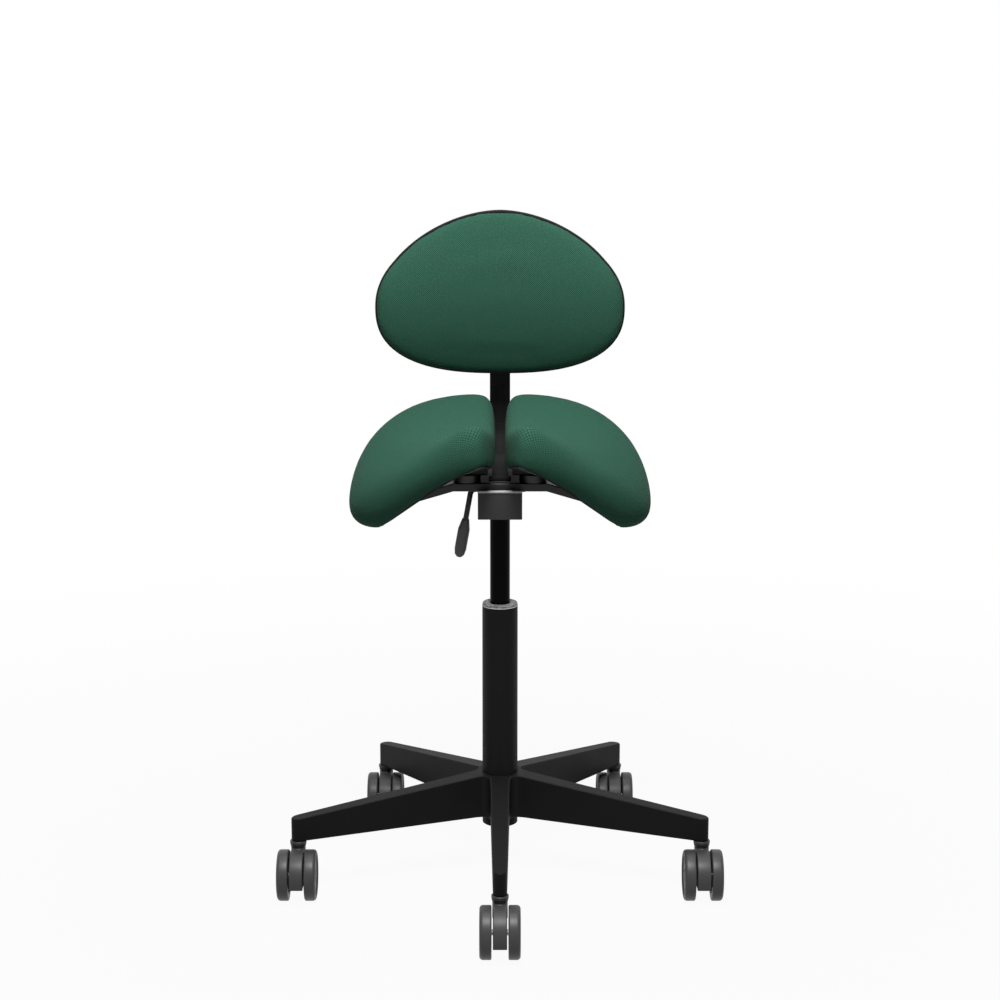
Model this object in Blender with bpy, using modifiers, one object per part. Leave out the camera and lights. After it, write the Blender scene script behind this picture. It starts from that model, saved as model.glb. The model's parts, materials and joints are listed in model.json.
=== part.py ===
"""Saddle stool with a split seat, a backrest on a bar, a gas spring column and a five-star base on castors.

Lengths are in metres and +Z is up. The stool is modelled around its column: the column's axis is the local Z
axis, the floor is at zero, and the user faces -Y. The whole stool hangs from one empty, which is moved at the
end so that the world origin lies on the floor below the middle of the stool's bounding box.
"""

from math import cos, pi, radians, sin, sqrt, tan

import bmesh
import bpy
from mathutils import Matrix, Vector

# Clearances and helpers
SEAT_GAP = 0.0003  # between two pieces that touch
RUNNING_GAP = 0.0004  # around a piece that slides or turns
CUT_OVERRUN = 0.004  # how far a cutter runs past the faces it cuts

# Five-star base
LEG_COUNT = 5
STEM_CIRCLE_RADIUS = 0.2965
LEG_TIP_HALF_WIDTH = 0.0095
LEG_ROOT_HALF_WIDTH = 0.0135
LEG_FILLET_RADIUS = 0.014
LEG_BOTTOM_HEIGHT = 0.0775
LEG_ROOT_BOTTOM_HEIGHT = 0.086
LEG_TIP_TOP_HEIGHT = 0.110
HUB_TOP_HEIGHT = 0.148
HUB_WALL = 0.007
LEG_WALL = 0.0035
LEG_ROOF = 0.0045
LEG_RIB = 0.003
LEG_RIB_COUNT = 3
LEG_EDGE_RADIUS = 0.0012
STEM_BOSS_RADIUS = 0.0075

# Gas spring column
TUBE_RADIUS = 0.025
TUBE_WALL = 0.002
TUBE_FLOOR = 0.003
TUBE_BOTTOM_HEIGHT = 0.072
COLUMN_TOP_HEIGHT = 0.3967
BUSH_FLANGE = 0.0035
BUSH_LENGTH = 0.085
BUSH_RECESS_RADIUS = 0.0172
BUSH_RECESS_DEPTH = 0.004
BUSH_CHAMFER = 0.0008
PISTON_RADIUS = 0.014
PISTON_BORE_RADIUS = 0.0115
PISTON_FOOT_HEIGHT = 0.212
PISTON_FOOT_WALL = 0.012
PISTON_CHAMBER_TOP_HEIGHT = 0.470
PISTON_TAPER_TOP_RADIUS = 0.0132
VALVE_BORE_RADIUS = 0.0045
BUTTON_RADIUS = 0.0042
BUTTON_EDGE = 0.001
BUTTON_PROUD = 0.005
BUTTON_DEPTH = 0.012
ROD_RADIUS = 0.005
ROD_HEAD_RADIUS = 0.0110
ROD_HEAD_HEIGHT = 0.312
ROD_HEAD_LENGTH = 0.010
ROD_TAIL = 0.006
BEARING_RADIUS = 0.013
BEARING_LENGTH = 0.009
CLIP_RADIUS = 0.0095
CLIP_THICKNESS = 0.0016
CLIP_GROOVE_DEPTH = 0.001
CLIP_MOUTH = 0.007

# Castors
WHEEL_RADIUS = 0.036
WHEEL_WIDTH = 0.0159
WHEEL_SHOULDER = 0.0045
WHEEL_DISH = 0.0022
WHEEL_RIM = 0.0035
WHEEL_BACK_RECESS = 0.004
WHEEL_HUB_RADIUS = 0.0095
WHEEL_GAP = 0.0018
CASTOR_TRAIL = 0.0265
HOUSING_WIDTH = 0.0186
HOUSING_RADIUS = 0.0345
HOUSING_EDGE = 0.0012
HOUSING_GROUND_CLEARANCE = 0.014
AXLE_RADIUS = 0.004
AXLE_BOSS_RADIUS = 0.0075
NECK_RADIUS = 0.0102
COLLAR_RADIUS = 0.0115
COLLAR_HEIGHT = 0.0045
COLLAR_GROOVE = 0.002
STEM_RADIUS = 0.005
STEM_DEPTH_IN_NECK = 0.017
STEM_DEPTH_IN_LEG = 0.020
STEM_RING_RADIUS = 0.0058
STEM_RING_LENGTH = 0.0014

# Mechanism below the seat
BOX_HALF_WIDTH = 0.0306
BOX_FRONT_Y = -0.049
BOX_REAR_Y = 0.046
BOX_TOP_HEIGHT = 0.562
BOX_BOTTOM_HEIGHT = 0.5265
BOX_WALL = 0.0025
BOX_EDGE_RADIUS = 0.0018
BASE_PLATE_THICKNESS = 0.003
SOCKET_WALL = 0.0045
SOCKET_TOP_HEIGHT = 0.546
SOCKET_LIP = 0.002
SOCKET_LIP_RADIUS = 0.0152

# Height lever
LEVER_ROD_RADIUS = 0.004
LEVER_Y = 0.025
LEVER_HEIGHT = 0.5538
LEVER_BEND_X = 0.0405
LEVER_BEND_CUT = 0.006
LEVER_BEND_SHARE = 0.25
LEVER_LEAN = radians(10.2)
LEVER_ROD_DROP = 0.052
LEVER_GRIP_TOP_DROP = 0.041
LEVER_GRIP_LENGTH = 0.058
LEVER_GRIP_HALF_WIDTH = 0.0083
LEVER_GRIP_HALF_DEPTH = 0.0060
LEVER_FINGER_HALF_WIDTH = 0.006
LEVER_FINGER_THICKNESS = 0.0025
LEVER_END_PROUD = 0.005

# Seat carrier plate, bar guide and spacers
PLATE_THICKNESS = 0.0115
PLATE_WEB = 0.005
PLATE_RIM = 0.004
PLATE_FRONT_Y = -0.032
PLATE_REAR_Y = 0.095
PLATE_FLAT_HALF_WIDTH = 0.0644
PLATE_WING_REACH = 0.112
PLATE_WING_SLOPE = radians(16.5)
GUIDE_HALF_WIDTH = 0.0268
GUIDE_HEIGHT = 0.0112
GUIDE_FLOOR = 0.0022
GUIDE_LIP = 0.0022
GUIDE_OPENING_HALF_WIDTH = 0.0111
SPACER_RADIUS = 0.019
SPACER_X = 0.0463
SPACER_FRONT_Y = -0.014
SPACER_REAR_Y = 0.062
SPACER_HEIGHT = 0.0118
SPACER_CHAMFER = 0.0015

# Backrest bar and its clamp knob
BAR_HALF_WIDTH = 0.0147
BAR_THICKNESS = 0.006
BAR_END_Y = -0.027
BAR_UPRIGHT_Y = 0.158
BAR_BEND_RADIUS = 0.040
BAR_TOP_HEIGHT = 0.880
BAR_EDGE_RADIUS = 0.0012
BEAD_HALF_WIDTH = 0.0075
BEAD_DEPTH = 0.0016
BEAD_TOP_HEIGHT = 0.683
BEAD_BOTTOM_HEIGHT = 0.630
KNOB_Y = 0.073
KNOB_RADIUS = 0.019
KNOB_HEIGHT = 0.016
KNOB_LOBES = 6
KNOB_LOBE_SHARE = 0.08
KNOB_NECK_RADIUS = 0.008
KNOB_NECK = 0.005
KNOB_SCREW_RADIUS = 0.004

# Saddle seat
SEAT_FRONT_Y = -0.150
SEAT_REAR_Y = 0.128
SEAT_HALF_GAP = 0.0062
SEAT_REACH = 0.177
SEAT_NOSE_RISE = 0.030
NOSE_CORNER = 0.011
SEAT_FLAP_DROP = 0.086
SEAT_PAD_THICKNESS = 0.055
SEAT_PAD_BULGE = 0.010
SEAT_PAD_DRAW_IN = 0.006
SEAT_SHELL_THICKNESS = 0.003
BOSS_HEIGHT = 0.0108  # from its foot to the shell's underside between the nose and the rear
BOSS_HALF_LENGTH = 0.052
BOSS_INNER_X = 0.0172
BOSS_OUTER_X = 0.068

# Backrest
BACKREST_HALF_WIDTH = 0.1765
BACKREST_BOTTOM_HEIGHT = 0.7035
BACKREST_TOP_HEIGHT = 0.9365
BACKREST_WIDEST_SHARE = 0.42
BACKREST_Y = 0.118
BACKREST_CURVE_RADIUS = 0.900
BACKREST_SHELL_THICKNESS = 0.006
BACKREST_LIP_WIDTH = 0.0050
BACKREST_LIP_HEIGHT = 0.004
BACKREST_PAD_THICKNESS = 0.034
CARRIER_HALF_WIDTH = 0.021
CARRIER_HALF_HEIGHT = 0.024
CARRIER_WALL = 0.004
TILT_AXIS_Y = 0.140
TILT_HEIGHT = 0.800
TILT_PIN_RADIUS = 0.003
TILT_EAR_HALF_WIDTH = 0.011
TILT_EAR_RADIUS = 0.0085
BRACKET_HALF_WIDTH = 0.034
BRACKET_HALF_HEIGHT = 0.030
BRACKET_THICKNESS = 0.003
HEIGHT_KNOB_RADIUS = 0.016
HEIGHT_KNOB_HEIGHT = 0.014

# Segment counts
ROUND_SEGMENTS = 24
WHEEL_SEGMENTS = 20
HOOD_SEGMENTS = 16
SMALL_SEGMENTS = 16
BACKREST_SEGMENTS = 40
ARC_SEGMENTS = 8
WELD_DISTANCE = 0.00001

for old in list(bpy.data.objects):
    bpy.data.objects.remove(old)

parts = bpy.data.collections.new("saddle_stool")
cutters = bpy.data.collections.new("cutters")
bpy.context.scene.collection.children.link(parts)
bpy.context.scene.collection.children.link(cutters)


def material(name, colour, roughness, metallic=0.0):
    made = bpy.data.materials.new(name)
    made.use_nodes = True
    shader = made.node_tree.nodes["Principled BSDF"]
    shader.inputs["Base Color"].default_value = (*colour, 1)
    shader.inputs["Roughness"].default_value = roughness
    shader.inputs["Metallic"].default_value = metallic
    made.diffuse_color = (*colour, 1)
    return made


FABRIC = ("green_fabric", (0.028, 0.115, 0.072), 0.85)
BLACK_COAT = ("black_coated_metal", (0.012, 0.012, 0.013), 0.45)
GLOSS_BLACK = ("gloss_black_steel", (0.006, 0.006, 0.006), 0.2)
GREY_STEEL = ("dark_grey_steel", (0.045, 0.045, 0.047), 0.4)
SHELL_PLASTIC = ("shell_plastic", (0.02, 0.02, 0.021), 0.35)
CASTOR_PLASTIC = ("castor_plastic", (0.075, 0.075, 0.08), 0.45)
TREAD_PLASTIC = ("wheel_plastic", (0.06, 0.06, 0.064), 0.5)
BARE_STEEL = ("bright_steel", (0.55, 0.55, 0.56), 0.3)
BUSH_PLASTIC = ("bush_plastic", (0.16, 0.16, 0.16), 0.5)


def empty(name, location, parent=None):
    made = bpy.data.objects.new(name, None)
    made.location = location
    made.parent = parent
    parts.objects.link(made)
    return made


stool = empty("stool", (0, 0, 0))


def place(name, data, look, parent=None, location=(0, 0, 0)):
    made = bpy.data.objects.new(name, data)
    made.parent = parent or stool
    made.location = location
    if look is not None:
        colour_name, *values = look
        found = bpy.data.materials.get(colour_name) or material(colour_name, *values)
        if not data.materials:
            data.materials.append(found)
    parts.objects.link(made)
    return made


def as_cutter(made):
    parts.objects.unlink(made)
    cutters.objects.link(made)
    made.hide_render = True
    made.display_type = "WIRE"
    return made


def combine(target, other, operation):
    step = target.modifiers.new(operation.lower(), "BOOLEAN")
    step.operation = operation
    step.object = as_cutter(other)
    step.solver = "EXACT"
    return target


def cut(target, cutter):
    return combine(target, cutter, "DIFFERENCE")


def join(target, other):
    return combine(target, other, "UNION")


def keep_inside(target, other):
    return combine(target, other, "INTERSECT")


def soften(target, width, segments=2, angle=radians(40)):
    step = target.modifiers.new("soften", "BEVEL")
    step.width = width
    step.segments = segments
    step.limit_method = "ANGLE"
    step.angle_limit = angle
    step.use_clamp_overlap = True
    return target


def box(name, low, high, look=None, parent=None):
    middle = (Vector(low) + Vector(high)) / 2
    size = Vector(high) - Vector(low)
    mesh = bpy.data.meshes.new(name)
    work = bmesh.new()
    bmesh.ops.create_cube(work, size=1.0, matrix=Matrix.Diagonal((*size, 1)))
    work.to_mesh(mesh)
    work.free()
    return place(name, mesh, look, parent, middle)


def drum(name, radius, length, look=None, parent=None, location=(0, 0, 0), segments=None, axis="Z"):
    mesh = bpy.data.meshes.new(name)
    work = bmesh.new()
    bmesh.ops.create_cone(
        work,
        cap_ends=True,
        segments=segments or ROUND_SEGMENTS,
        radius1=radius,
        radius2=radius,
        depth=length,
    )
    work.to_mesh(mesh)
    work.free()
    mesh.shade_smooth()
    mesh.set_sharp_from_angle(angle=radians(35))
    made = place(name, mesh, look, parent, location)
    if axis == "X":
        made.rotation_euler = (0, pi / 2, 0)
    if axis == "Y":
        made.rotation_euler = (pi / 2, 0, 0)
    return made


def turned(name, profile, look, parent=None, location=(0, 0, 0), segments=None, closed=False):
    """A body turned about its own Z axis from (radius, height) points, top to bottom on the outer side."""
    mesh = bpy.data.meshes.new(name)
    work = bmesh.new()
    points = [work.verts.new((radius, 0, height)) for radius, height in profile]
    for first, second in zip(points, points[1:]):
        work.edges.new((first, second))
    if closed:
        work.edges.new((points[-1], points[0]))
    work.to_mesh(mesh)
    work.free()
    made = place(name, mesh, look, parent, location)
    step = made.modifiers.new("turn", "SCREW")
    step.steps = step.render_steps = segments or ROUND_SEGMENTS
    step.use_merge_vertices = True
    step.merge_threshold = WELD_DISTANCE
    step.use_smooth_shade = True
    return made


def prism(name, outline, depth, look=None, parent=None, location=(0, 0, 0), across="Y"):
    """A flat outline given depth: (x, z) along "Y", (x, y) along "Z" or (y, z) along "X"."""
    curve = bpy.data.curves.new(name, "CURVE")
    curve.dimensions = "2D"
    curve.fill_mode = "BOTH"
    curve.extrude = depth / 2
    line = curve.splines.new("POLY")
    line.points.add(len(outline) - 1)
    for point, (a, b) in zip(line.points, outline):
        point.co = (a, b, 0, 1)
    line.use_cyclic_u = True
    turns = {
        "Z": Matrix.Identity(4),
        "Y": Matrix.Rotation(pi / 2, 4, "X"),
        "X": Matrix.Rotation(pi / 2, 4, "Z") @ Matrix.Rotation(pi / 2, 4, "X"),
    }
    rough = bpy.data.objects.new(name + "_outline", curve)
    parts.objects.link(rough)
    mesh = bpy.data.meshes.new_from_object(rough.evaluated_get(bpy.context.evaluated_depsgraph_get()))
    bpy.data.objects.remove(rough)
    mesh.name = name
    work = bmesh.new()
    work.from_mesh(mesh)
    bmesh.ops.remove_doubles(work, verts=work.verts, dist=WELD_DISTANCE)
    bmesh.ops.transform(work, matrix=turns[across], verts=work.verts)
    bmesh.ops.recalc_face_normals(work, faces=work.faces)
    bmesh.ops.dissolve_limit(work, angle_limit=radians(0.5), verts=work.verts, edges=work.edges)
    work.to_mesh(mesh)
    work.free()
    return place(name, mesh, look, parent, location)


def rod(name, points, radius, look, parent=None, location=(0, 0, 0), resolution=2):
    curve = bpy.data.curves.new(name, "CURVE")
    curve.dimensions = "3D"
    curve.bevel_depth = radius
    curve.bevel_resolution = resolution
    curve.use_fill_caps = True
    line = curve.splines.new("POLY")
    line.points.add(len(points) - 1)
    for point, place_of_point in zip(line.points, points):
        point.co = (*place_of_point, 1)
    rough = bpy.data.objects.new(name + "_line", curve)
    parts.objects.link(rough)
    mesh = bpy.data.meshes.new_from_object(rough.evaluated_get(bpy.context.evaluated_depsgraph_get()))
    bpy.data.objects.remove(rough)
    work = bmesh.new()
    work.from_mesh(mesh)
    bmesh.ops.remove_doubles(work, verts=work.verts, dist=WELD_DISTANCE)
    bmesh.ops.recalc_face_normals(work, faces=work.faces)
    work.to_mesh(mesh)
    work.free()
    mesh.shade_smooth()
    mesh.set_sharp_from_angle(angle=radians(45))
    return place(name, mesh, look, parent, location)


def arc(centre, radius, start, end, count):
    """Points on an arc, both ends included, as pairs."""
    return [
        (
            centre[0] + radius * cos(start + (end - start) * i / count),
            centre[1] + radius * sin(start + (end - start) * i / count),
        )
        for i in range(count + 1)
    ]


def leg_angle(index):
    return radians(-90) + index * 2 * pi / LEG_COUNT


# Five-star base
HALF_SPREAD = pi / LEG_COUNT
FILLET_CENTRE_RADIUS = (LEG_ROOT_HALF_WIDTH + LEG_FILLET_RADIUS) / sin(HALF_SPREAD)
LEG_ROOT_RADIUS = FILLET_CENTRE_RADIUS * cos(HALF_SPREAD)
LEG_TIP_RADIUS = STEM_CIRCLE_RADIUS + LEG_TIP_HALF_WIDTH
HUB_RADIUS = TUBE_RADIUS + HUB_WALL
LEG_TOP_SLOPE = (HUB_TOP_HEIGHT - LEG_TIP_TOP_HEIGHT) / (LEG_TIP_RADIUS - HUB_RADIUS)


def leg_half_width(radius):
    share = (radius - LEG_ROOT_RADIUS) / (STEM_CIRCLE_RADIUS - LEG_ROOT_RADIUS)
    return LEG_ROOT_HALF_WIDTH + share * (LEG_TIP_HALF_WIDTH - LEG_ROOT_HALF_WIDTH)


def leg_top(radius):
    return HUB_TOP_HEIGHT - LEG_TOP_SLOPE * max(0, radius - HUB_RADIUS)


def leg_bottom(radius):
    share = (radius - HUB_RADIUS) / (LEG_TIP_RADIUS - HUB_RADIUS)
    return LEG_ROOT_BOTTOM_HEIGHT + share * (LEG_BOTTOM_HEIGHT - LEG_ROOT_BOTTOM_HEIGHT)


def star_outline():
    outline = []
    for index in range(LEG_COUNT):
        along = leg_angle(index)
        tip = (STEM_CIRCLE_RADIUS * cos(along), STEM_CIRCLE_RADIUS * sin(along))
        outline += arc(tip, LEG_TIP_HALF_WIDTH, along - pi / 2, along + pi / 2, 6)
        halfway = along + HALF_SPREAD
        centre = (FILLET_CENTRE_RADIUS * cos(halfway), FILLET_CENTRE_RADIUS * sin(halfway))
        outline += arc(centre, LEG_FILLET_RADIUS, along + 1.5 * pi, along + pi / 2 + 2 * HALF_SPREAD, 4)
    return outline


def leg_cuts():
    """The pockets under the legs, between their ribs, and the bores for the castor stems, as one cutter."""
    mesh = bpy.data.meshes.new("leg_cuts")
    work = bmesh.new()
    floor = LEG_BOTTOM_HEIGHT - CUT_OVERRUN
    first = LEG_ROOT_RADIUS + LEG_RIB
    last = STEM_CIRCLE_RADIUS - STEM_RING_RADIUS - STEM_BOSS_RADIUS
    cell = (last - first - LEG_RIB_COUNT * LEG_RIB) / (LEG_RIB_COUNT + 1)
    for index in range(LEG_COUNT):
        turn = Matrix.Rotation(leg_angle(index), 4, "Z")
        for cell_index in range(LEG_RIB_COUNT + 1):
            near = first + cell_index * (cell + LEG_RIB)
            made = bmesh.ops.create_cube(work, size=1.0)
            for vert in made["verts"]:
                radius = near if vert.co.x < 0 else near + cell
                side = leg_half_width(radius) - LEG_WALL
                height = floor if vert.co.z < 0 else leg_top(radius) - LEG_ROOF
                vert.co = turn @ Vector((radius, side if vert.co.y > 0 else -side, height))
        bore_top = LEG_BOTTOM_HEIGHT + STEM_DEPTH_IN_LEG + SEAT_GAP
        middle = turn @ Matrix.Translation((STEM_CIRCLE_RADIUS, 0, (floor + bore_top) / 2))
        bmesh.ops.create_cone(
            work,
            cap_ends=True,
            segments=SMALL_SEGMENTS,
            radius1=STEM_RING_RADIUS + SEAT_GAP,
            radius2=STEM_RING_RADIUS + SEAT_GAP,
            depth=bore_top - floor,
            matrix=middle,
        )
    work.to_mesh(mesh)
    work.free()
    return place("leg_cuts", mesh, None)


def star_base():
    top = HUB_TOP_HEIGHT + CUT_OVERRUN
    below = LEG_BOTTOM_HEIGHT - CUT_OVERRUN
    middle = (0, 0, (top + below) / 2)
    base = prism("star_base", star_outline(), top - below, BLACK_COAT, location=middle, across="Z")
    reach = LEG_TIP_RADIUS + CUT_OVERRUN
    envelope = [
        (0, HUB_TOP_HEIGHT),
        (HUB_RADIUS / cos(HALF_SPREAD), HUB_TOP_HEIGHT),
        (reach / cos(HALF_SPREAD), leg_top(reach)),
        (reach / cos(HALF_SPREAD), leg_bottom(reach)),
        (HUB_RADIUS / cos(HALF_SPREAD), LEG_ROOT_BOTTOM_HEIGHT),
        (0, LEG_ROOT_BOTTOM_HEIGHT),
    ]
    slopes = turned("leg_slopes", envelope, None, segments=LEG_COUNT)
    slopes.modifiers["turn"].use_smooth_shade = False
    slopes.rotation_euler = (0, 0, leg_angle(0) + HALF_SPREAD)
    keep_inside(base, slopes)
    soften(base, LEG_EDGE_RADIUS, segments=1)
    cut(base, leg_cuts())
    height = HUB_TOP_HEIGHT - LEG_BOTTOM_HEIGHT + 2 * CUT_OVERRUN
    middle = (HUB_TOP_HEIGHT + LEG_BOTTOM_HEIGHT) / 2
    cut(base, drum("hub_bore", TUBE_RADIUS + SEAT_GAP, height, location=(0, 0, middle)))


star_base()

# Castors
AXLE_HEIGHT = WHEEL_RADIUS * cos(pi / WHEEL_SEGMENTS)
CASTOR_TOP_HEIGHT = LEG_BOTTOM_HEIGHT - SEAT_GAP
WHEEL_INNER_X = HOUSING_WIDTH / 2 + WHEEL_GAP
WHEEL_FACE = WHEEL_WIDTH - WHEEL_DISH
AXLE_POCKET = WHEEL_FACE - WHEEL_DISH
CASTOR_NAMES = ["front", "right_front", "right_rear", "left_rear", "left_front"]


def castor_stem(name, at):
    top = LEG_BOTTOM_HEIGHT + STEM_DEPTH_IN_LEG
    ring_top = top - STEM_RING_LENGTH * 2
    profile = [
        (0, top),
        (STEM_RADIUS - STEM_RING_LENGTH / 2, top),
        (STEM_RADIUS, top - STEM_RING_LENGTH / 2),
        (STEM_RADIUS, ring_top),
        (STEM_RING_RADIUS, ring_top),
        (STEM_RING_RADIUS, ring_top - STEM_RING_LENGTH),
        (STEM_RADIUS, ring_top - STEM_RING_LENGTH),
        (STEM_RADIUS, CASTOR_TOP_HEIGHT - STEM_DEPTH_IN_NECK),
        (0, CASTOR_TOP_HEIGHT - STEM_DEPTH_IN_NECK),
    ]
    turned(name + "_stem", profile, BARE_STEEL, at, segments=SMALL_SEGMENTS)


def castor_housing(name, at):
    hood_at = (0, -CASTOR_TRAIL, AXLE_HEIGHT)
    hood = (HOUSING_RADIUS, HOUSING_WIDTH, CASTOR_PLASTIC, at, hood_at)
    housing = drum(name + "_housing", *hood, segments=HOOD_SEGMENTS, axis="X")
    soften(housing, HOUSING_EDGE, segments=1)
    boss_length = HOUSING_WIDTH + 2 * (WHEEL_GAP - RUNNING_GAP)
    boss = (AXLE_BOSS_RADIUS, boss_length, None, at, hood_at)
    join(housing, drum(name + "_boss", *boss, segments=SMALL_SEGMENTS, axis="X"))
    top = CASTOR_TOP_HEIGHT
    neck = [
        (0, top),
        (COLLAR_RADIUS, top),
        (COLLAR_RADIUS, top - COLLAR_HEIGHT),
        (NECK_RADIUS, top - COLLAR_HEIGHT),
        (NECK_RADIUS, top - COLLAR_HEIGHT - COLLAR_GROOVE),
        (COLLAR_RADIUS, top - COLLAR_HEIGHT - COLLAR_GROOVE),
        (NECK_RADIUS, AXLE_HEIGHT + COLLAR_RADIUS),
        (0, AXLE_HEIGHT),
    ]
    join(housing, turned(name + "_neck", neck, None, at, segments=SMALL_SEGMENTS))
    below = HOUSING_RADIUS + CUT_OVERRUN
    low = (-HOUSING_WIDTH, -CASTOR_TRAIL - below, AXLE_HEIGHT - below)
    high = (HOUSING_WIDTH, -CASTOR_TRAIL + below, HOUSING_GROUND_CLEARANCE)
    cut(housing, box(name + "_flat", low, high, parent=at))
    bore_low = CASTOR_TOP_HEIGHT - STEM_DEPTH_IN_NECK - SEAT_GAP
    bore_length = CASTOR_TOP_HEIGHT + CUT_OVERRUN - bore_low
    bore_at = (0, 0, bore_low + bore_length / 2)
    bore = (STEM_RADIUS + RUNNING_GAP, bore_length, None, at, bore_at)
    cut(housing, drum(name + "_stem_bore", *bore, segments=SMALL_SEGMENTS))
    axle_bore = (AXLE_RADIUS + SEAT_GAP, boss_length + 2 * CUT_OVERRUN, None, at, hood_at)
    cut(housing, drum(name + "_axle_bore", *axle_bore, segments=SMALL_SEGMENTS, axis="X"))


def castor_wheel(name, at, side):
    shoulder = WHEEL_SHOULDER * (1 - sqrt(0.5))
    profile = [
        (0, WHEEL_FACE),
        (WHEEL_RADIUS - WHEEL_SHOULDER - WHEEL_RIM, WHEEL_FACE),
        (WHEEL_RADIUS - WHEEL_SHOULDER, WHEEL_WIDTH),
        (WHEEL_RADIUS - shoulder, WHEEL_WIDTH - shoulder),
        (WHEEL_RADIUS, WHEEL_WIDTH - WHEEL_SHOULDER),
        (WHEEL_RADIUS, WHEEL_RIM / 2),
        (WHEEL_RADIUS - WHEEL_RIM / 2, 0),
        (AXLE_RADIUS + RUNNING_GAP, 0),
        (AXLE_RADIUS + RUNNING_GAP, AXLE_POCKET),
        (0, AXLE_POCKET),
    ]
    hub_at = (side * WHEEL_INNER_X, -CASTOR_TRAIL, AXLE_HEIGHT)
    wheel = turned(name, profile, TREAD_PLASTIC, at, hub_at, segments=WHEEL_SEGMENTS)
    wheel.rotation_euler = Matrix.Rotation(side * pi / 2, 4, "Y").to_euler()
    wheel.rotation_euler.rotate_axis("Z", pi / WHEEL_SEGMENTS)


def castor(name, index):
    along = leg_angle(index)
    at = empty(name, (STEM_CIRCLE_RADIUS * cos(along), STEM_CIRCLE_RADIUS * sin(along), 0), stool)
    castor_stem(name, at)
    castor_housing(name, at)
    axle_length = 2 * (WHEEL_INNER_X + AXLE_POCKET - SEAT_GAP)
    hub_at = (0, -CASTOR_TRAIL, AXLE_HEIGHT)
    drum(name + "_axle", AXLE_RADIUS, axle_length, BARE_STEEL, at, hub_at, segments=SMALL_SEGMENTS, axis="X")
    castor_wheel(name + "_left_wheel", at, -1)
    castor_wheel(name + "_right_wheel", at, 1)


for order, place_name in enumerate(CASTOR_NAMES):
    castor("castor_" + place_name, order)

# Gas spring column
BORE_RADIUS = TUBE_RADIUS - TUBE_WALL
ROD_BORE_RADIUS = ROD_RADIUS + RUNNING_GAP
TUBE_TOP_HEIGHT = COLUMN_TOP_HEIGHT - BUSH_FLANGE - SEAT_GAP
CLIP_TOP_HEIGHT = TUBE_BOTTOM_HEIGHT - SEAT_GAP


def column_tube():
    profile = [
        (TUBE_RADIUS, TUBE_TOP_HEIGHT),
        (TUBE_RADIUS, TUBE_BOTTOM_HEIGHT + TUBE_WALL / 2),
        (TUBE_RADIUS - TUBE_WALL / 2, TUBE_BOTTOM_HEIGHT),
        (ROD_BORE_RADIUS, TUBE_BOTTOM_HEIGHT),
        (ROD_BORE_RADIUS, TUBE_BOTTOM_HEIGHT + TUBE_FLOOR),
        (BORE_RADIUS, TUBE_BOTTOM_HEIGHT + TUBE_FLOOR),
        (BORE_RADIUS, TUBE_TOP_HEIGHT),
    ]
    turned("column_tube", profile, BLACK_COAT, closed=True)


def guide_bush():
    sleeve_radius = BORE_RADIUS - SEAT_GAP
    slide_radius = PISTON_RADIUS + RUNNING_GAP
    flange_radius = TUBE_RADIUS - BUSH_CHAMFER / 2
    profile = [
        (flange_radius - BUSH_CHAMFER, COLUMN_TOP_HEIGHT),
        (flange_radius, COLUMN_TOP_HEIGHT - BUSH_CHAMFER),
        (flange_radius, COLUMN_TOP_HEIGHT - BUSH_FLANGE),
        (sleeve_radius, COLUMN_TOP_HEIGHT - BUSH_FLANGE),
        (sleeve_radius, COLUMN_TOP_HEIGHT - BUSH_LENGTH),
        (slide_radius, COLUMN_TOP_HEIGHT - BUSH_LENGTH),
        (slide_radius, COLUMN_TOP_HEIGHT - BUSH_RECESS_DEPTH),
        (BUSH_RECESS_RADIUS, COLUMN_TOP_HEIGHT - BUSH_RECESS_DEPTH),
        (BUSH_RECESS_RADIUS, COLUMN_TOP_HEIGHT),
    ]
    turned("guide_bush", profile, BUSH_PLASTIC, closed=True)


def piston_rod():
    groove_top = CLIP_TOP_HEIGHT
    groove_bottom = groove_top - CLIP_THICKNESS - 2 * SEAT_GAP
    groove_radius = ROD_RADIUS - CLIP_GROOVE_DEPTH
    tail = groove_bottom - ROD_TAIL
    profile = [
        (0, ROD_HEAD_HEIGHT + ROD_HEAD_LENGTH),
        (ROD_HEAD_RADIUS, ROD_HEAD_HEIGHT + ROD_HEAD_LENGTH),
        (ROD_HEAD_RADIUS, ROD_HEAD_HEIGHT),
        (ROD_RADIUS, ROD_HEAD_HEIGHT),
        (ROD_RADIUS, groove_top),
        (groove_radius, groove_top),
        (groove_radius, groove_bottom),
        (ROD_RADIUS, groove_bottom),
        (ROD_RADIUS, tail + CLIP_GROOVE_DEPTH),
        (ROD_RADIUS - CLIP_GROOVE_DEPTH, tail),
        (0, tail),
    ]
    turned("piston_rod", profile, BARE_STEEL, segments=SMALL_SEGMENTS)


def thrust_bearing():
    low = TUBE_BOTTOM_HEIGHT + TUBE_FLOOR + SEAT_GAP
    waist = BEARING_LENGTH / 3
    profile = [
        (BEARING_RADIUS, low + BEARING_LENGTH),
        (BEARING_RADIUS, low + BEARING_LENGTH - waist),
        (BEARING_RADIUS - waist / 2, low + BEARING_LENGTH - waist),
        (BEARING_RADIUS - waist / 2, low + waist),
        (BEARING_RADIUS, low + waist),
        (BEARING_RADIUS, low),
        (ROD_BORE_RADIUS, low),
        (ROD_BORE_RADIUS, low + BEARING_LENGTH),
    ]
    turned("thrust_bearing", profile, BARE_STEEL, segments=SMALL_SEGMENTS, closed=True)


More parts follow.
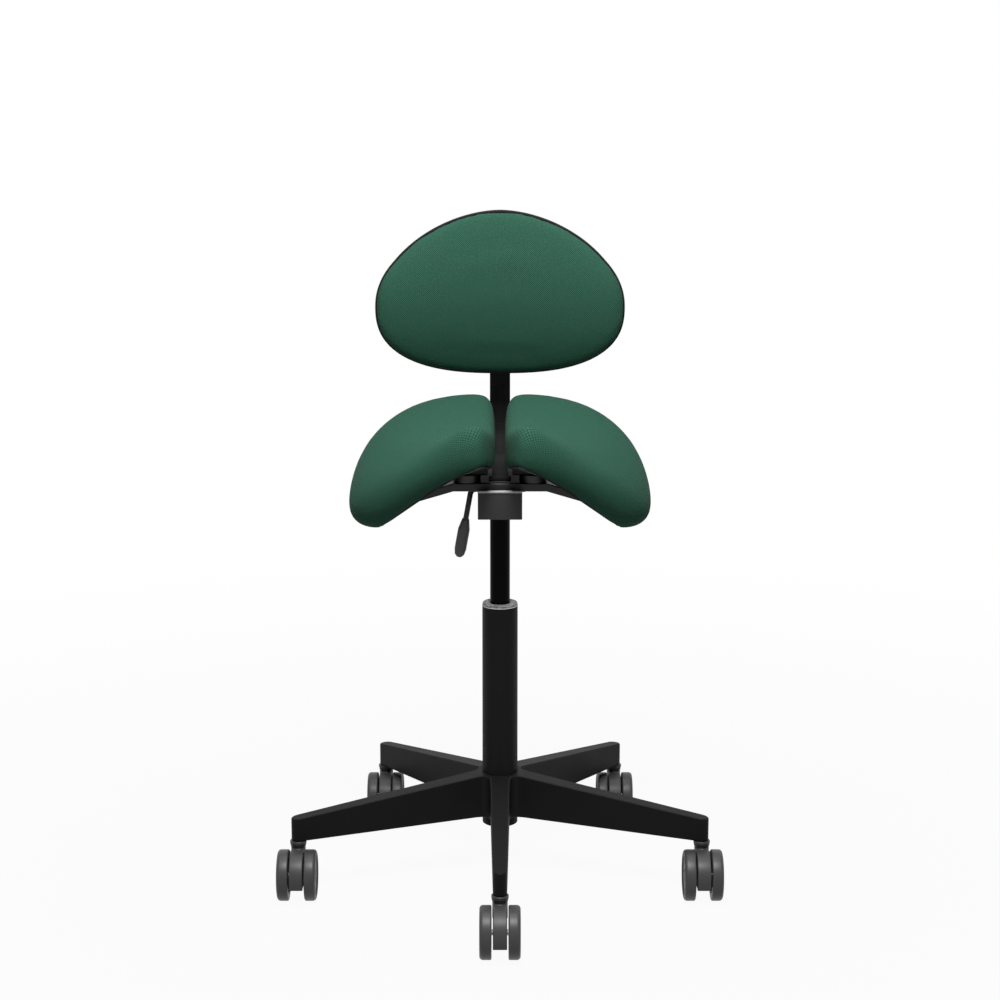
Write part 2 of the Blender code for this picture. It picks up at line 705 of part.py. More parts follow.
def retaining_clip():
    middle = CLIP_TOP_HEIGHT - SEAT_GAP - CLIP_THICKNESS / 2
    disc = (CLIP_RADIUS, CLIP_THICKNESS, BARE_STEEL, None, (0, 0, middle))
    clip = drum("retaining_clip", *disc, segments=SMALL_SEGMENTS)
    hole_radius = ROD_RADIUS - CLIP_GROOVE_DEPTH + SEAT_GAP
    hole = (hole_radius, CLIP_THICKNESS + CUT_OVERRUN, None, None, (0, 0, middle))
    cut(clip, drum("clip_hole", *hole, segments=SMALL_SEGMENTS))
    half = CLIP_MOUTH / 2
    low = (0, -half, middle - CUT_OVERRUN)
    cut(clip, box("clip_mouth", low, (CLIP_RADIUS + CUT_OVERRUN, half, middle + CUT_OVERRUN)))


def piston_tube():
    top = SOCKET_TOP_HEIGHT + SEAT_GAP
    taper_start = BOX_BOTTOM_HEIGHT - SOCKET_LIP
    slide = ROD_HEAD_RADIUS + RUNNING_GAP
    profile = [
        (VALVE_BORE_RADIUS, top),
        (PISTON_TAPER_TOP_RADIUS, top),
        (PISTON_RADIUS, taper_start),
        (PISTON_RADIUS, PISTON_FOOT_HEIGHT),
        (ROD_BORE_RADIUS, PISTON_FOOT_HEIGHT),
        (ROD_BORE_RADIUS, PISTON_FOOT_HEIGHT + PISTON_FOOT_WALL),
        (slide, PISTON_FOOT_HEIGHT + PISTON_FOOT_WALL),
        (slide, PISTON_CHAMBER_TOP_HEIGHT),
        (VALVE_BORE_RADIUS, PISTON_CHAMBER_TOP_HEIGHT),
    ]
    turned("piston_tube", profile, GLOSS_BLACK, closed=True)


def release_button():
    top = SOCKET_TOP_HEIGHT + SEAT_GAP + BUTTON_PROUD
    button_radius = VALVE_BORE_RADIUS - SEAT_GAP
    profile = [
        (0, top),
        (button_radius - BUTTON_EDGE, top),
        (button_radius, top - BUTTON_EDGE),
        (button_radius, top - BUTTON_PROUD - BUTTON_DEPTH),
        (0, top - BUTTON_PROUD - BUTTON_DEPTH),
    ]
    turned("release_button", profile, BARE_STEEL, segments=SMALL_SEGMENTS)


column_tube()
guide_bush()
piston_rod()
thrust_bearing()
retaining_clip()
piston_tube()
release_button()

# Mechanism box with its socket plate
BOX_INNER_HALF_WIDTH = BOX_HALF_WIDTH - BOX_WALL
SOCKET_PLATE_TOP = BOX_BOTTOM_HEIGHT + BASE_PLATE_THICKNESS
FINGER_BOTTOM_HEIGHT = SOCKET_TOP_HEIGHT + BUTTON_PROUD + 2 * SEAT_GAP
LEVER_HOLE_RADIUS = LEVER_ROD_RADIUS + RUNNING_GAP


def mechanism_box():
    mesh = bpy.data.meshes.new("mechanism_box")
    work = bmesh.new()
    depth = BOX_REAR_Y - BOX_FRONT_Y
    height = BOX_TOP_HEIGHT - BOX_BOTTOM_HEIGHT
    size = Matrix.Diagonal((2 * BOX_HALF_WIDTH, depth, height, 1))
    bmesh.ops.create_cube(work, size=1.0, matrix=size)
    floor = [face for face in work.faces if face.normal.z < -0.5]
    bmesh.ops.delete(work, geom=floor, context="FACES_ONLY")
    folds = [edge for edge in work.edges if not edge.is_boundary]
    rounding = {"segments": 2, "profile": 0.5, "affect": "EDGES", "material": -1}
    bmesh.ops.bevel(work, geom=folds, offset=BOX_EDGE_RADIUS, **rounding)
    work.to_mesh(mesh)
    work.free()
    middle = (0, (BOX_FRONT_Y + BOX_REAR_Y) / 2, (BOX_TOP_HEIGHT + BOX_BOTTOM_HEIGHT) / 2)
    made = place("mechanism_box", mesh, GREY_STEEL, location=middle)
    wall = made.modifiers.new("wall", "SOLIDIFY")
    wall.thickness = BOX_WALL
    wall.offset = -1
    wall.use_even_offset = True
    hole = (LEVER_HOLE_RADIUS, 2 * (BOX_HALF_WIDTH + CUT_OVERRUN), None, None, (0, LEVER_Y, LEVER_HEIGHT))
    cut(made, drum("lever_holes", *hole, segments=SMALL_SEGMENTS, axis="X"))


def socket_plate():
    low = (-BOX_INNER_HALF_WIDTH + SEAT_GAP, BOX_FRONT_Y + BOX_WALL + SEAT_GAP, BOX_BOTTOM_HEIGHT)
    high = (BOX_INNER_HALF_WIDTH - SEAT_GAP, BOX_REAR_Y - BOX_WALL - SEAT_GAP, SOCKET_PLATE_TOP)
    plate = box("socket_plate", low, high, GREY_STEEL)
    socket_foot = BOX_BOTTOM_HEIGHT - SOCKET_LIP
    outer = PISTON_RADIUS + SOCKET_WALL
    sleeve = [
        (0, SOCKET_TOP_HEIGHT),
        (outer, SOCKET_TOP_HEIGHT),
        (outer, BOX_BOTTOM_HEIGHT),
        (SOCKET_LIP_RADIUS, BOX_BOTTOM_HEIGHT),
        (SOCKET_LIP_RADIUS, socket_foot),
        (0, socket_foot),
    ]
    join(plate, turned("socket_sleeve", sleeve, None))
    narrowing = (PISTON_RADIUS - PISTON_TAPER_TOP_RADIUS) / (SOCKET_TOP_HEIGHT + SEAT_GAP - socket_foot)
    upper_radius = PISTON_TAPER_TOP_RADIUS + SEAT_GAP - narrowing * (CUT_OVERRUN - SEAT_GAP)
    lower_radius = PISTON_RADIUS + SEAT_GAP + narrowing * CUT_OVERRUN
    bore = [
        (0, SOCKET_TOP_HEIGHT + CUT_OVERRUN),
        (upper_radius, SOCKET_TOP_HEIGHT + CUT_OVERRUN),
        (lower_radius, socket_foot - CUT_OVERRUN),
        (0, socket_foot - CUT_OVERRUN),
    ]
    cut(plate, turned("socket_bore", bore, None))


mechanism_box()
socket_plate()

# Height lever, with its turning axis along X
lever_axis = empty("lever_axis", (0, LEVER_Y, LEVER_HEIGHT), stool)
LEVER_DIRECTION = Vector((-sin(LEVER_LEAN), 0, -cos(LEVER_LEAN)))


def lever_rod():
    bend = Vector((-LEVER_BEND_X, 0, 0))
    inner = bend + Vector((LEVER_BEND_CUT, 0, 0))
    outer = bend + LEVER_DIRECTION * LEVER_BEND_CUT
    right_end = BOX_HALF_WIDTH + LEVER_END_PROUD
    points = [
        Vector((right_end, 0, 0)),
        inner,
        bend + (inner - bend + outer - bend) * LEVER_BEND_SHARE,
        outer,
        bend + LEVER_DIRECTION * LEVER_ROD_DROP,
    ]
    lever = rod("lever_rod", points, LEVER_ROD_RADIUS, GREY_STEEL, lever_axis, resolution=3)
    finger_bottom = FINGER_BOTTOM_HEIGHT - LEVER_HEIGHT
    low = (-LEVER_FINGER_HALF_WIDTH, -LEVER_Y - LEVER_FINGER_HALF_WIDTH, finger_bottom)
    high = (LEVER_FINGER_HALF_WIDTH, 0, finger_bottom + LEVER_FINGER_THICKNESS)
    join(lever, box("lever_finger", low, high, parent=lever_axis))


# Shares of the grip's length, width and depth, from the rod to its end
LEVER_GRIP_SHARES = [
    (0.0, 0.42, 0.46),
    (0.05, 0.62, 0.68),
    (0.30, 1.0, 1.0),
    (0.80, 1.0, 1.0),
    (0.94, 0.80, 0.88),
    (1.0, 0.40, 0.44),
]


def lever_grip():
    """A flattened paddle on the end of the rod, with its sides drawn in towards the rod."""
    mesh = bpy.data.meshes.new("lever_grip")
    work = bmesh.new()
    rings = []
    for along_share, width_share, depth_share in LEVER_GRIP_SHARES:
        ring = []
        for i in range(SMALL_SEGMENTS):
            turn = 2 * pi * i / SMALL_SEGMENTS
            across = LEVER_GRIP_HALF_WIDTH * width_share * cos(turn)
            deep = LEVER_GRIP_HALF_DEPTH * depth_share * sin(turn)
            ring.append(work.verts.new((across, deep, -LEVER_GRIP_LENGTH * along_share)))
        rings.append([work.edges.new((ring[i - 1], ring[i])) for i in range(len(ring))])
    for upper, lower in zip(rings, rings[1:]):
        bmesh.ops.bridge_loops(work, edges=upper + lower)
    for end in (rings[0], rings[-1]):
        bmesh.ops.contextual_create(work, geom=end)
    bmesh.ops.recalc_face_normals(work, faces=work.faces)
    work.to_mesh(mesh)
    work.free()
    mesh.shade_smooth()
    start = Vector((-LEVER_BEND_X, 0, 0)) + LEVER_DIRECTION * LEVER_GRIP_TOP_DROP
    grip = place("lever_grip", mesh, SHELL_PLASTIC, lever_axis, start)
    grip.rotation_euler = (0, LEVER_LEAN, 0)
    bore_length = LEVER_ROD_DROP - LEVER_GRIP_TOP_DROP + SEAT_GAP + CUT_OVERRUN
    middle = start + LEVER_DIRECTION * (bore_length / 2 - CUT_OVERRUN)
    hole = (LEVER_ROD_RADIUS + SEAT_GAP, bore_length, None, lever_axis, middle)
    bore = drum("grip_bore", *hole, segments=SMALL_SEGMENTS)
    bore.rotation_euler = (0, LEVER_LEAN, 0)
    cut(grip, bore)


lever_rod()
lever_grip()

# Seat carrier plate with down-turned rim and wings
PLATE_BOTTOM_HEIGHT = BOX_TOP_HEIGHT + SEAT_GAP
PLATE_TOP_HEIGHT = PLATE_BOTTOM_HEIGHT + PLATE_THICKNESS


def plate_outline(thickness):
    """The plate seen from the front: level in the middle, with a wing sloping down at each side."""
    drop = (PLATE_WING_REACH - PLATE_FLAT_HALF_WIDTH) * tan(PLATE_WING_SLOPE)
    half = [
        (PLATE_FLAT_HALF_WIDTH, PLATE_TOP_HEIGHT),
        (PLATE_WING_REACH, PLATE_TOP_HEIGHT - drop),
        (PLATE_WING_REACH, PLATE_TOP_HEIGHT - drop - thickness),
        (PLATE_FLAT_HALF_WIDTH, PLATE_TOP_HEIGHT - thickness),
    ]
    return half + [(-x, z) for x, z in reversed(half)]


def carrier_plate():
    depth = PLATE_REAR_Y - PLATE_FRONT_Y
    middle = (0, (PLATE_REAR_Y + PLATE_FRONT_Y) / 2, 0)
    plate = prism("carrier_plate", plate_outline(PLATE_THICKNESS), depth, GREY_STEEL, location=middle)
    soften(plate, PLATE_RIM / 4, segments=1)
    width = PLATE_WING_REACH - PLATE_RIM
    side = BOX_HALF_WIDTH + PLATE_RIM
    top = PLATE_TOP_HEIGHT - PLATE_WEB
    bottom = PLATE_TOP_HEIGHT - PLATE_THICKNESS - CUT_OVERRUN
    slope = tan(PLATE_WING_SLOPE)
    fall = (width - PLATE_FLAT_HALF_WIDTH) * slope
    for label, turn in (("left", -1), ("right", 1)):
        pocket = [
            (turn * side, top),
            (turn * PLATE_FLAT_HALF_WIDTH, top),
            (turn * width, top - fall),
            (turn * width, bottom - fall),
            (turn * PLATE_FLAT_HALF_WIDTH, bottom),
            (turn * side, bottom),
        ]
        cut(plate, prism("plate_pocket_" + label, pocket, depth - 2 * PLATE_RIM, location=middle))
    screw_bore = KNOB_SCREW_RADIUS + RUNNING_GAP
    through = PLATE_THICKNESS + 2 * CUT_OVERRUN
    screw_at = (0, KNOB_Y, PLATE_TOP_HEIGHT - PLATE_THICKNESS / 2)
    cut(plate, drum("plate_screw_hole", screw_bore, through, location=screw_at, segments=SMALL_SEGMENTS))


def bar_guide():
    """A C-shaped channel that holds the flat bar down on the plate and leaves it free to slide along Y."""
    low = PLATE_TOP_HEIGHT + SEAT_GAP
    high = low + GUIDE_HEIGHT
    channel = BAR_HALF_WIDTH + RUNNING_GAP
    half = [
        (GUIDE_HALF_WIDTH, low),
        (GUIDE_HALF_WIDTH, high),
        (GUIDE_OPENING_HALF_WIDTH, high),
        (GUIDE_OPENING_HALF_WIDTH, high - GUIDE_LIP),
        (channel, high - GUIDE_LIP),
        (channel, low + GUIDE_FLOOR),
    ]
    outline = half + [(-x, z) for x, z in reversed(half)]
    front = PLATE_FRONT_Y + BOX_WALL
    rear = PLATE_REAR_Y - BOX_WALL
    guide = prism("bar_guide", outline, rear - front, GREY_STEEL, location=(0, (rear + front) / 2, 0))
    hole = (KNOB_SCREW_RADIUS + RUNNING_GAP, 2 * CUT_OVERRUN, None, None, (0, KNOB_Y, low))
    cut(guide, drum("guide_screw_hole", *hole, segments=SMALL_SEGMENTS))


def seat_spacer(name, x, y):
    top = PLATE_TOP_HEIGHT + SEAT_GAP + SPACER_HEIGHT
    profile = [
        (0, top),
        (SPACER_RADIUS - SPACER_CHAMFER, top),
        (SPACER_RADIUS, top - SPACER_CHAMFER),
        (SPACER_RADIUS, top - SPACER_HEIGHT),
        (0, top - SPACER_HEIGHT),
    ]
    turned(name, profile, SHELL_PLASTIC, location=(x, y, 0))


carrier_plate()
bar_guide()
for side_name, side in (("left", -1), ("right", 1)):
    seat_spacer("seat_spacer_front_" + side_name, side * SPACER_X, SPACER_FRONT_Y)
    seat_spacer("seat_spacer_rear_" + side_name, side * SPACER_X, SPACER_REAR_Y)

# Backrest bar
BAR_BOTTOM_HEIGHT = PLATE_TOP_HEIGHT + SEAT_GAP + GUIDE_FLOOR + RUNNING_GAP


def bar_outline():
    """The bar seen from the side as (y, z): level in its guide, one bend, then upright behind the seat."""
    bottom = BAR_BOTTOM_HEIGHT
    inner = BAR_BEND_RADIUS - BAR_THICKNESS
    centre = (BAR_UPRIGHT_Y - inner, bottom + BAR_BEND_RADIUS)
    outer_bend = arc(centre, BAR_BEND_RADIUS, -pi / 2, 0, ARC_SEGMENTS)
    inner_bend = arc(centre, inner, 0, -pi / 2, ARC_SEGMENTS)
    ends = [(BAR_UPRIGHT_Y + BAR_THICKNESS, BAR_TOP_HEIGHT), (BAR_UPRIGHT_Y, BAR_TOP_HEIGHT)]
    return [(BAR_END_Y, bottom)] + outer_bend + ends + inner_bend + [(BAR_END_Y, bottom + BAR_THICKNESS)]


def backrest_bar():
    bar = prism("backrest_bar", bar_outline(), 2 * BAR_HALF_WIDTH, GREY_STEEL, across="X")
    soften(bar, BAR_EDGE_RADIUS, segments=1, angle=radians(60))
    bead_top = BEAD_TOP_HEIGHT - BEAD_HALF_WIDTH
    outline = arc((0, bead_top), BEAD_HALF_WIDTH, 0, pi, ARC_SEGMENTS)
    outline += arc((0, BEAD_BOTTOM_HEIGHT), BEAD_HALF_WIDTH, pi, 2 * pi, ARC_SEGMENTS)
    bead = prism("bar_bead", outline, 2 * BEAD_DEPTH, location=(0, BAR_UPRIGHT_Y, 0))
    cut(bar, bead)


def knob_outline(radius):
    """A round outline with shallow lobes for the fingers."""
    count = KNOB_LOBES * 4
    outline = []
    for i in range(count):
        turn = 2 * pi * i / count
        reach = radius * (1 - KNOB_LOBE_SHARE + KNOB_LOBE_SHARE * cos(KNOB_LOBES * turn))
        outline.append((reach * cos(turn), reach * sin(turn)))
    return outline


def depth_knob():
    neck_top = PLATE_TOP_HEIGHT - PLATE_THICKNESS - SEAT_GAP
    head_top = neck_top - KNOB_NECK
    head_at = (0, KNOB_Y, head_top - KNOB_HEIGHT / 2)
    head = (knob_outline(KNOB_RADIUS), KNOB_HEIGHT, SHELL_PLASTIC, None, head_at)
    knob = prism("depth_knob", *head, across="Z")
    soften(knob, KNOB_SCREW_RADIUS / 2, segments=1, angle=radians(60))
    screw_top = BAR_BOTTOM_HEIGHT - SEAT_GAP
    overlap = KNOB_HEIGHT / 2
    neck = [
        (0, screw_top),
        (KNOB_SCREW_RADIUS, screw_top),
        (KNOB_SCREW_RADIUS, neck_top),
        (KNOB_NECK_RADIUS, neck_top),
        (KNOB_NECK_RADIUS, head_top - overlap),
        (0, head_top - overlap),
    ]
    join(knob, turned("knob_neck", neck, None, location=(0, KNOB_Y, 0), segments=SMALL_SEGMENTS))


backrest_bar()
depth_knob()

# Saddle seat: each half is a grid of stations, from the gap outwards and from front to rear
# The front edge runs down in a straight line and the arch behind it is a dome. Each gives, from the gap
# outwards, its shares of the reach and of the fall and the way the pad's thickness points.
STRAIGHT_ACROSS_SHARES = [0.0, 0.19, 0.44, 0.75, 1.0]
STRAIGHT_FALL_SHARES = [0.0, 0.10, 0.33, 0.70, 1.0]
STRAIGHT_TURNS = [radians(turn) for turn in (0, 16, 36, 42, 50)]
DOME_ACROSS_SHARES = [0.0, 0.22, 0.57, 0.87, 1.0]
DOME_FALL_SHARES = [0.0, 0.0, 0.03, 0.31, 1.0]
DOME_TURNS = [radians(turn) for turn in (0, 5, 25, 55, 72)]
THICKNESS_SHARES = [1.0, 1.0, 1.0, 1.0, 0.86]
STATION_DOME_SHARES = [0.0, 0.40, 0.80, 1.0, 1.0]
STATION_ALONG_SHARES = [0.0, 0.22, 0.50, 0.78, 1.0]
STATION_RISE_SHARES = [1.0, 0.375, 0.125, 0.64, 1.02]
STATION_CORNER_SHARES = [1.0, 0.05, 0.0, 0.0, 0.3]
STATION_THICKNESS_SHARES = [1.12, 1.03, 1.0, 1.0, 1.0]
NOSE_THICKNESS_SHARES = [1.0, 0.94, 0.70, 0.72, 0.86]
NOSE_REACH_SHARES = [1.0, 0.45, 0.0, 0.0, 0.0]
STATION_REACH_SHARES = [0.90, 0.97, 1.0, 1.0, 0.97]
STATION_FALL_SHARES = [0.85, 0.97, 1.0, 1.0, 0.95]
SWEEP_IN_SHARES = [0.0, 0.01, 0.08, 0.20, 0.33]
REAR_SWEEP_SHARE = 0.8
SWELL_SHARE = 0.45
SEAT_LENGTH = SEAT_REAR_Y - SEAT_FRONT_Y
NOSE_CREASES = [0.5, 0.25]
LAST = len(SWEEP_IN_SHARES) - 1
BOSS_BOTTOM_HEIGHT = PLATE_TOP_HEIGHT + SPACER_HEIGHT + 2 * SEAT_GAP
SEAT_UNDERSIDE_HEIGHT = BOSS_BOTTOM_HEIGHT + BOSS_HEIGHT


def between(first, second, share):
    return first + (second - first) * share


def underside_point(i, j):
    """Place of grid point i across and j along on the underside of the right pad."""
    dome = STATION_DOME_SHARES[j]
    across = between(STRAIGHT_ACROSS_SHARES[i], DOME_ACROSS_SHARES[i], dome)
    fall = between(STRAIGHT_FALL_SHARES[i], DOME_FALL_SHARES[i], dome)
    inner = SEAT_HALF_GAP + NOSE_CORNER * STATION_CORNER_SHARES[j]
    x = between(inner, SEAT_REACH * STATION_REACH_SHARES[j], across)
    front = SEAT_FRONT_Y + SEAT_LENGTH * SWEEP_IN_SHARES[i]
    rear = SEAT_REAR_Y - SEAT_LENGTH * SWEEP_IN_SHARES[i] * REAR_SWEEP_SHARE
    y = between(front, rear, STATION_ALONG_SHARES[j])
    centre = SEAT_UNDERSIDE_HEIGHT + SEAT_NOSE_RISE * STATION_RISE_SHARES[j]
    tip = SEAT_UNDERSIDE_HEIGHT - SEAT_FLAP_DROP * STATION_FALL_SHARES[j]
    return Vector((x, y, between(centre, tip, fall)))


def turn_at(i, j):
    return between(STRAIGHT_TURNS[i], DOME_TURNS[i], STATION_DOME_SHARES[j])


def outward(i, j):
    return Vector((sin(turn_at(i, j)), 0, cos(turn_at(i, j))))


def lifted(i, j, share):
    """How far the pad stands off its underside at a share of its thickness."""
    at_nose = between(1, NOSE_THICKNESS_SHARES[i], NOSE_REACH_SHARES[j])
    thickness = SEAT_PAD_THICKNESS * THICKNESS_SHARES[i] * STATION_THICKNESS_SHARES[j] * at_nose
    return outward(i, j) * thickness * share


def rim_outward(i, j):
    """Direction in which the pad's side bulges at a point of the grid's border."""
    away = Vector((0, 0, 0))
    if j == 0:
        away += Vector((0, -1, 0))
    if j == LAST:
        away += Vector((0, 1, 0))
    if i == LAST:
        away += Vector((cos(turn_at(i, j)), 0, -sin(turn_at(i, j))))
    return away.normalized() if away.length else away


def border():
    """The grid's border points in order round the pad."""
    path = [(i, 0) for i in range(LAST)]
    path += [(LAST, j) for j in range(LAST)]
    path += [(LAST - i, LAST) for i in range(LAST)]
    path += [(0, LAST - j) for j in range(LAST)]
    return path


def seat_grid(work, side, lift):
    verts = {}
    for i in range(LAST + 1):
        for j in range(LAST + 1):
            spot = underside_point(i, j) + lift(i, j)
            verts[i, j] = work.verts.new((side * spot.x, spot.y, spot.z))
    for i in range(LAST):
        for j in range(LAST):
            work.faces.new((verts[i, j], verts[i + 1, j], verts[i + 1, j + 1], verts[i, j + 1]))
    return verts


def smooth_body(name, look, work, levels):
    mesh = bpy.data.meshes.new(name)
    bmesh.ops.recalc_face_normals(work, faces=work.faces)
    work.to_mesh(mesh)
    work.free()
    mesh.shade_smooth()
    made = place(name, mesh, look)
    step = made.modifiers.new("smooth", "SUBSURF")
    step.levels = step.render_levels = levels
    return made


def crease_line(work, line, sharpness):
    """Creases the edges along a line of points, so that the smoothed surface keeps that seam."""
    for first, second in zip(line, line[1:]):
        work.edges.get((first, second))[work.edges.layers.float["crease_edge"]] = sharpness


def crease_ring(work, ring):
    crease_line(work, ring + ring[:1], 1.0)


def seat_pad(name, side):
    """A crowned pad: its underside follows the shell, and its sides swell out and are drawn in below."""
    work = bmesh.new()
    work.edges.layers.float.new("crease_edge")
    under = seat_grid(work, side, lambda i, j: lifted(i, j, 0))
    over = seat_grid(work, side, lambda i, j: lifted(i, j, 1) - rim_outward(i, j) * SEAT_PAD_DRAW_IN)
    path = border()
    swell = {}
    for i, j in path:
        spot = underside_point(i, j) + lifted(i, j, SWELL_SHARE) + rim_outward(i, j) * SEAT_PAD_BULGE
        swell[i, j] = work.verts.new((side * spot.x, spot.y, spot.z))
    for (a, b), (c, d) in zip(path, path[1:] + path[:1]):
        work.faces.new((under[a, b], under[c, d], swell[c, d], swell[a, b]))
        work.faces.new((swell[a, b], swell[c, d], over[c, d], over[a, b]))
    crease_ring(work, [under[spot] for spot in path])
    for i, sharpness in enumerate(NOSE_CREASES):
        crease_line(work, [over[i, 0], over[i + 1, 0]], sharpness)
    return smooth_body(name, FABRIC, work, 2)


def seat_shell(name, side):
    work = bmesh.new()
    seat_grid(work, side, lambda i, j: outward(i, j) * -2 * SEAT_GAP)
    shell = smooth_body(name, SHELL_PLASTIC, work, 2)
    up = sum((face.normal.z for face in shell.data.polygons))
    wall = shell.modifiers.new("wall", "SOLIDIFY")
    wall.thickness = SEAT_SHELL_THICKNESS
    wall.offset = -1 if up > 0 else 1
    wall.use_even_offset = True
    return shell


def seat_boss(name, side):
    """The block moulded under the shell: level where it stands on the spacers, and sloped like the shell."""
    work = bmesh.new()
    work.edges.layers.float.new("crease_edge")
    depth = SEAT_SHELL_THICKNESS / 2
    top = seat_grid(work, side, lambda i, j: Vector((0, 0, -depth)))
    path = [top[spot] for spot in border()]
    low = BOX_BOTTOM_HEIGHT - SEAT_FLAP_DROP
    floor = [work.verts.new((vert.co.x, vert.co.y, low)) for vert in path]
    for i in range(len(path)):
        work.faces.new((path[i - 1], path[i], floor[i], floor[i - 1]))
    work.faces.new(floor)
    crease_ring(work, path)
    crease_ring(work, floor)
    under_shell = smooth_body(name + "_under_shell", None, work, 2)
    middle = (SPACER_FRONT_Y + SPACER_REAR_Y) / 2
    inner, outer = sorted((side * BOSS_INNER_X, side * BOSS_OUTER_X))
    low = (inner, middle - BOSS_HALF_LENGTH, BOSS_BOTTOM_HEIGHT)
    block = box(name, low, (outer, middle + BOSS_HALF_LENGTH, SEAT_UNDERSIDE_HEIGHT + SEAT_NOSE_RISE))
    return keep_inside(block, under_shell)


for side_name, side in (("left", -1), ("right", 1)):
    seat_pad("seat_pad_" + side_name, side)
    join(seat_shell("seat_shell_" + side_name, side), seat_boss("seat_boss_" + side_name, side))

# Backrest: an egg-shaped shell with a lip round a crowned pad
BACKREST_HEIGHT = BACKREST_TOP_HEIGHT - BACKREST_BOTTOM_HEIGHT
WIDEST_HEIGHT = BACKREST_BOTTOM_HEIGHT + BACKREST_WIDEST_SHARE * BACKREST_HEIGHT
LOWER_POWER = 2.5
UPPER_POWER = 1.81
UPPER_FLANK_SHARE = 0.50


def egg_point(turn, inset):
    """A point on the outline: a rounded box below its widest line and a rounded triangle above it."""
    across = BACKREST_HALF_WIDTH - inset
    c, s = cos(turn), sin(turn)
    if s < 0:
        power = LOWER_POWER
        rise = WIDEST_HEIGHT - BACKREST_BOTTOM_HEIGHT - inset
    else:
        power = 2 + (UPPER_POWER - 2) * min(1, s / UPPER_FLANK_SHARE)
        rise = BACKREST_TOP_HEIGHT - WIDEST_HEIGHT - inset
    scale = (abs(c) ** power + abs(s) ** power) ** (-1 / power)
    return across * c * scale, rise * s * scale


def bent(x, y):
    """How far back a point lies once the backrest is curved round the sitter."""
    return y - x * x / (2 * BACKREST_CURVE_RADIUS)


def egg_body(name, look, rings, parent):
    """A closed body from (share of the outline, inset, depth) rings, from its back pole to its front pole."""
    mesh = bpy.data.meshes.new(name)
    work = bmesh.new()
    loops = []
    for share, inset, depth in rings:
        ring = []
        for i in range(BACKREST_SEGMENTS):
            x, z = egg_point(2 * pi * i / BACKREST_SEGMENTS, inset)
            ring.append(work.verts.new((x * share, bent(x * share, depth), WIDEST_HEIGHT + z * share)))
        loops.append([work.edges.new((ring[i - 1], ring[i])) for i in range(len(ring))])
    for first, second in zip(loops, loops[1:]):
        bmesh.ops.bridge_loops(work, edges=first + second)
    for end, depth in ((loops[0], rings[0][2]), (loops[-1], rings[-1][2])):
        pole = work.verts.new((0, depth, WIDEST_HEIGHT))
        for edge in end:
            work.faces.new((*edge.verts, pole))
    bmesh.ops.recalc_face_normals(work, faces=work.faces)
    bmesh.ops.transform(work, matrix=Matrix.Translation((0, -TILT_AXIS_Y, -TILT_HEIGHT)), verts=work.verts)
    work.to_mesh(mesh)
    work.free()
    mesh.shade_smooth()
    mesh.set_sharp_from_angle(angle=radians(50))
    return place(name, mesh, look, parent)


PAD_INSET = BACKREST_LIP_WIDTH + SEAT_GAP
SHELL_FRONT_Y = BACKREST_Y
SHELL_BACK_Y = BACKREST_Y + BACKREST_SHELL_THICKNESS
FLAT_RING_SHARES = (0.35, 0.8)
LIP_ROUNDING = BACKREST_LIP_WIDTH / 4
CROWN_SHARES = [(1.0, 0.0), (1.0, 0.30), (0.985, 0.52), (0.93, 0.72), (0.78, 0.88), (0.50, 0.97), (0.22, 1.0)]


def backrest_shell(tilt):
    lip = BACKREST_LIP_WIDTH
    lip_front = SHELL_FRONT_Y - BACKREST_LIP_HEIGHT
    rings = [(share, 0, SHELL_BACK_Y) for share in FLAT_RING_SHARES]
    rings += [
        (1.0, lip, SHELL_BACK_Y),
        (1.0, LIP_ROUNDING, SHELL_BACK_Y - LIP_ROUNDING),
        (1.0, 0, SHELL_FRONT_Y),
        (1.0, LIP_ROUNDING, lip_front),
        (1.0, lip - LIP_ROUNDING, lip_front),
        (1.0, lip, SHELL_FRONT_Y),
    ]
    rings += [(share, PAD_INSET, SHELL_FRONT_Y) for share in reversed(FLAT_RING_SHARES)]
    return egg_body("backrest_shell", SHELL_PLASTIC, rings, tilt)


def backrest_pad(tilt):
    back = SHELL_FRONT_Y - 2 * SEAT_GAP
    rings = [(share, PAD_INSET, back) for share in FLAT_RING_SHARES]
    rings += [(share, PAD_INSET, back - BACKREST_PAD_THICKNESS * rise) for share, rise in CROWN_SHARES]
    return egg_body("backrest_pad", FABRIC, rings, tilt)


def tilt_bracket(tilt):
    """The plate on the back of the shell with the two ears that turn on the tilt pin."""
    front = SHELL_BACK_Y + SEAT_GAP
    back = front + BRACKET_THICKNESS
    low = (-BRACKET_HALF_WIDTH, front - TILT_AXIS_Y, -BRACKET_HALF_HEIGHT)
    high = (BRACKET_HALF_WIDTH, back - TILT_AXIS_Y, BRACKET_HALF_HEIGHT)
    bracket = box("tilt_bracket", low, high, GREY_STEEL, tilt)
    near = back - TILT_AXIS_Y - BRACKET_THICKNESS / 2
    round_end = arc((0, 0), TILT_EAR_RADIUS, -pi / 2, pi / 2, ARC_SEGMENTS)
    profile = [(near, -TILT_EAR_RADIUS)] + round_end + [(near, TILT_EAR_RADIUS)]
    for label, side in (("left", -1), ("right", 1)):
        ear_at = (side * (TILT_EAR_HALF_WIDTH + SEAT_GAP + CARRIER_WALL * 1.5), 0, 0)
        join(bracket, prism("ear_" + label, profile, CARRIER_WALL, None, tilt, ear_at, across="X"))
    bore = (TILT_PIN_RADIUS + RUNNING_GAP, 4 * TILT_EAR_HALF_WIDTH, None, tilt)
    cut(bracket, drum("ear_bore", *bore, segments=SMALL_SEGMENTS, axis="X"))
    return bracket


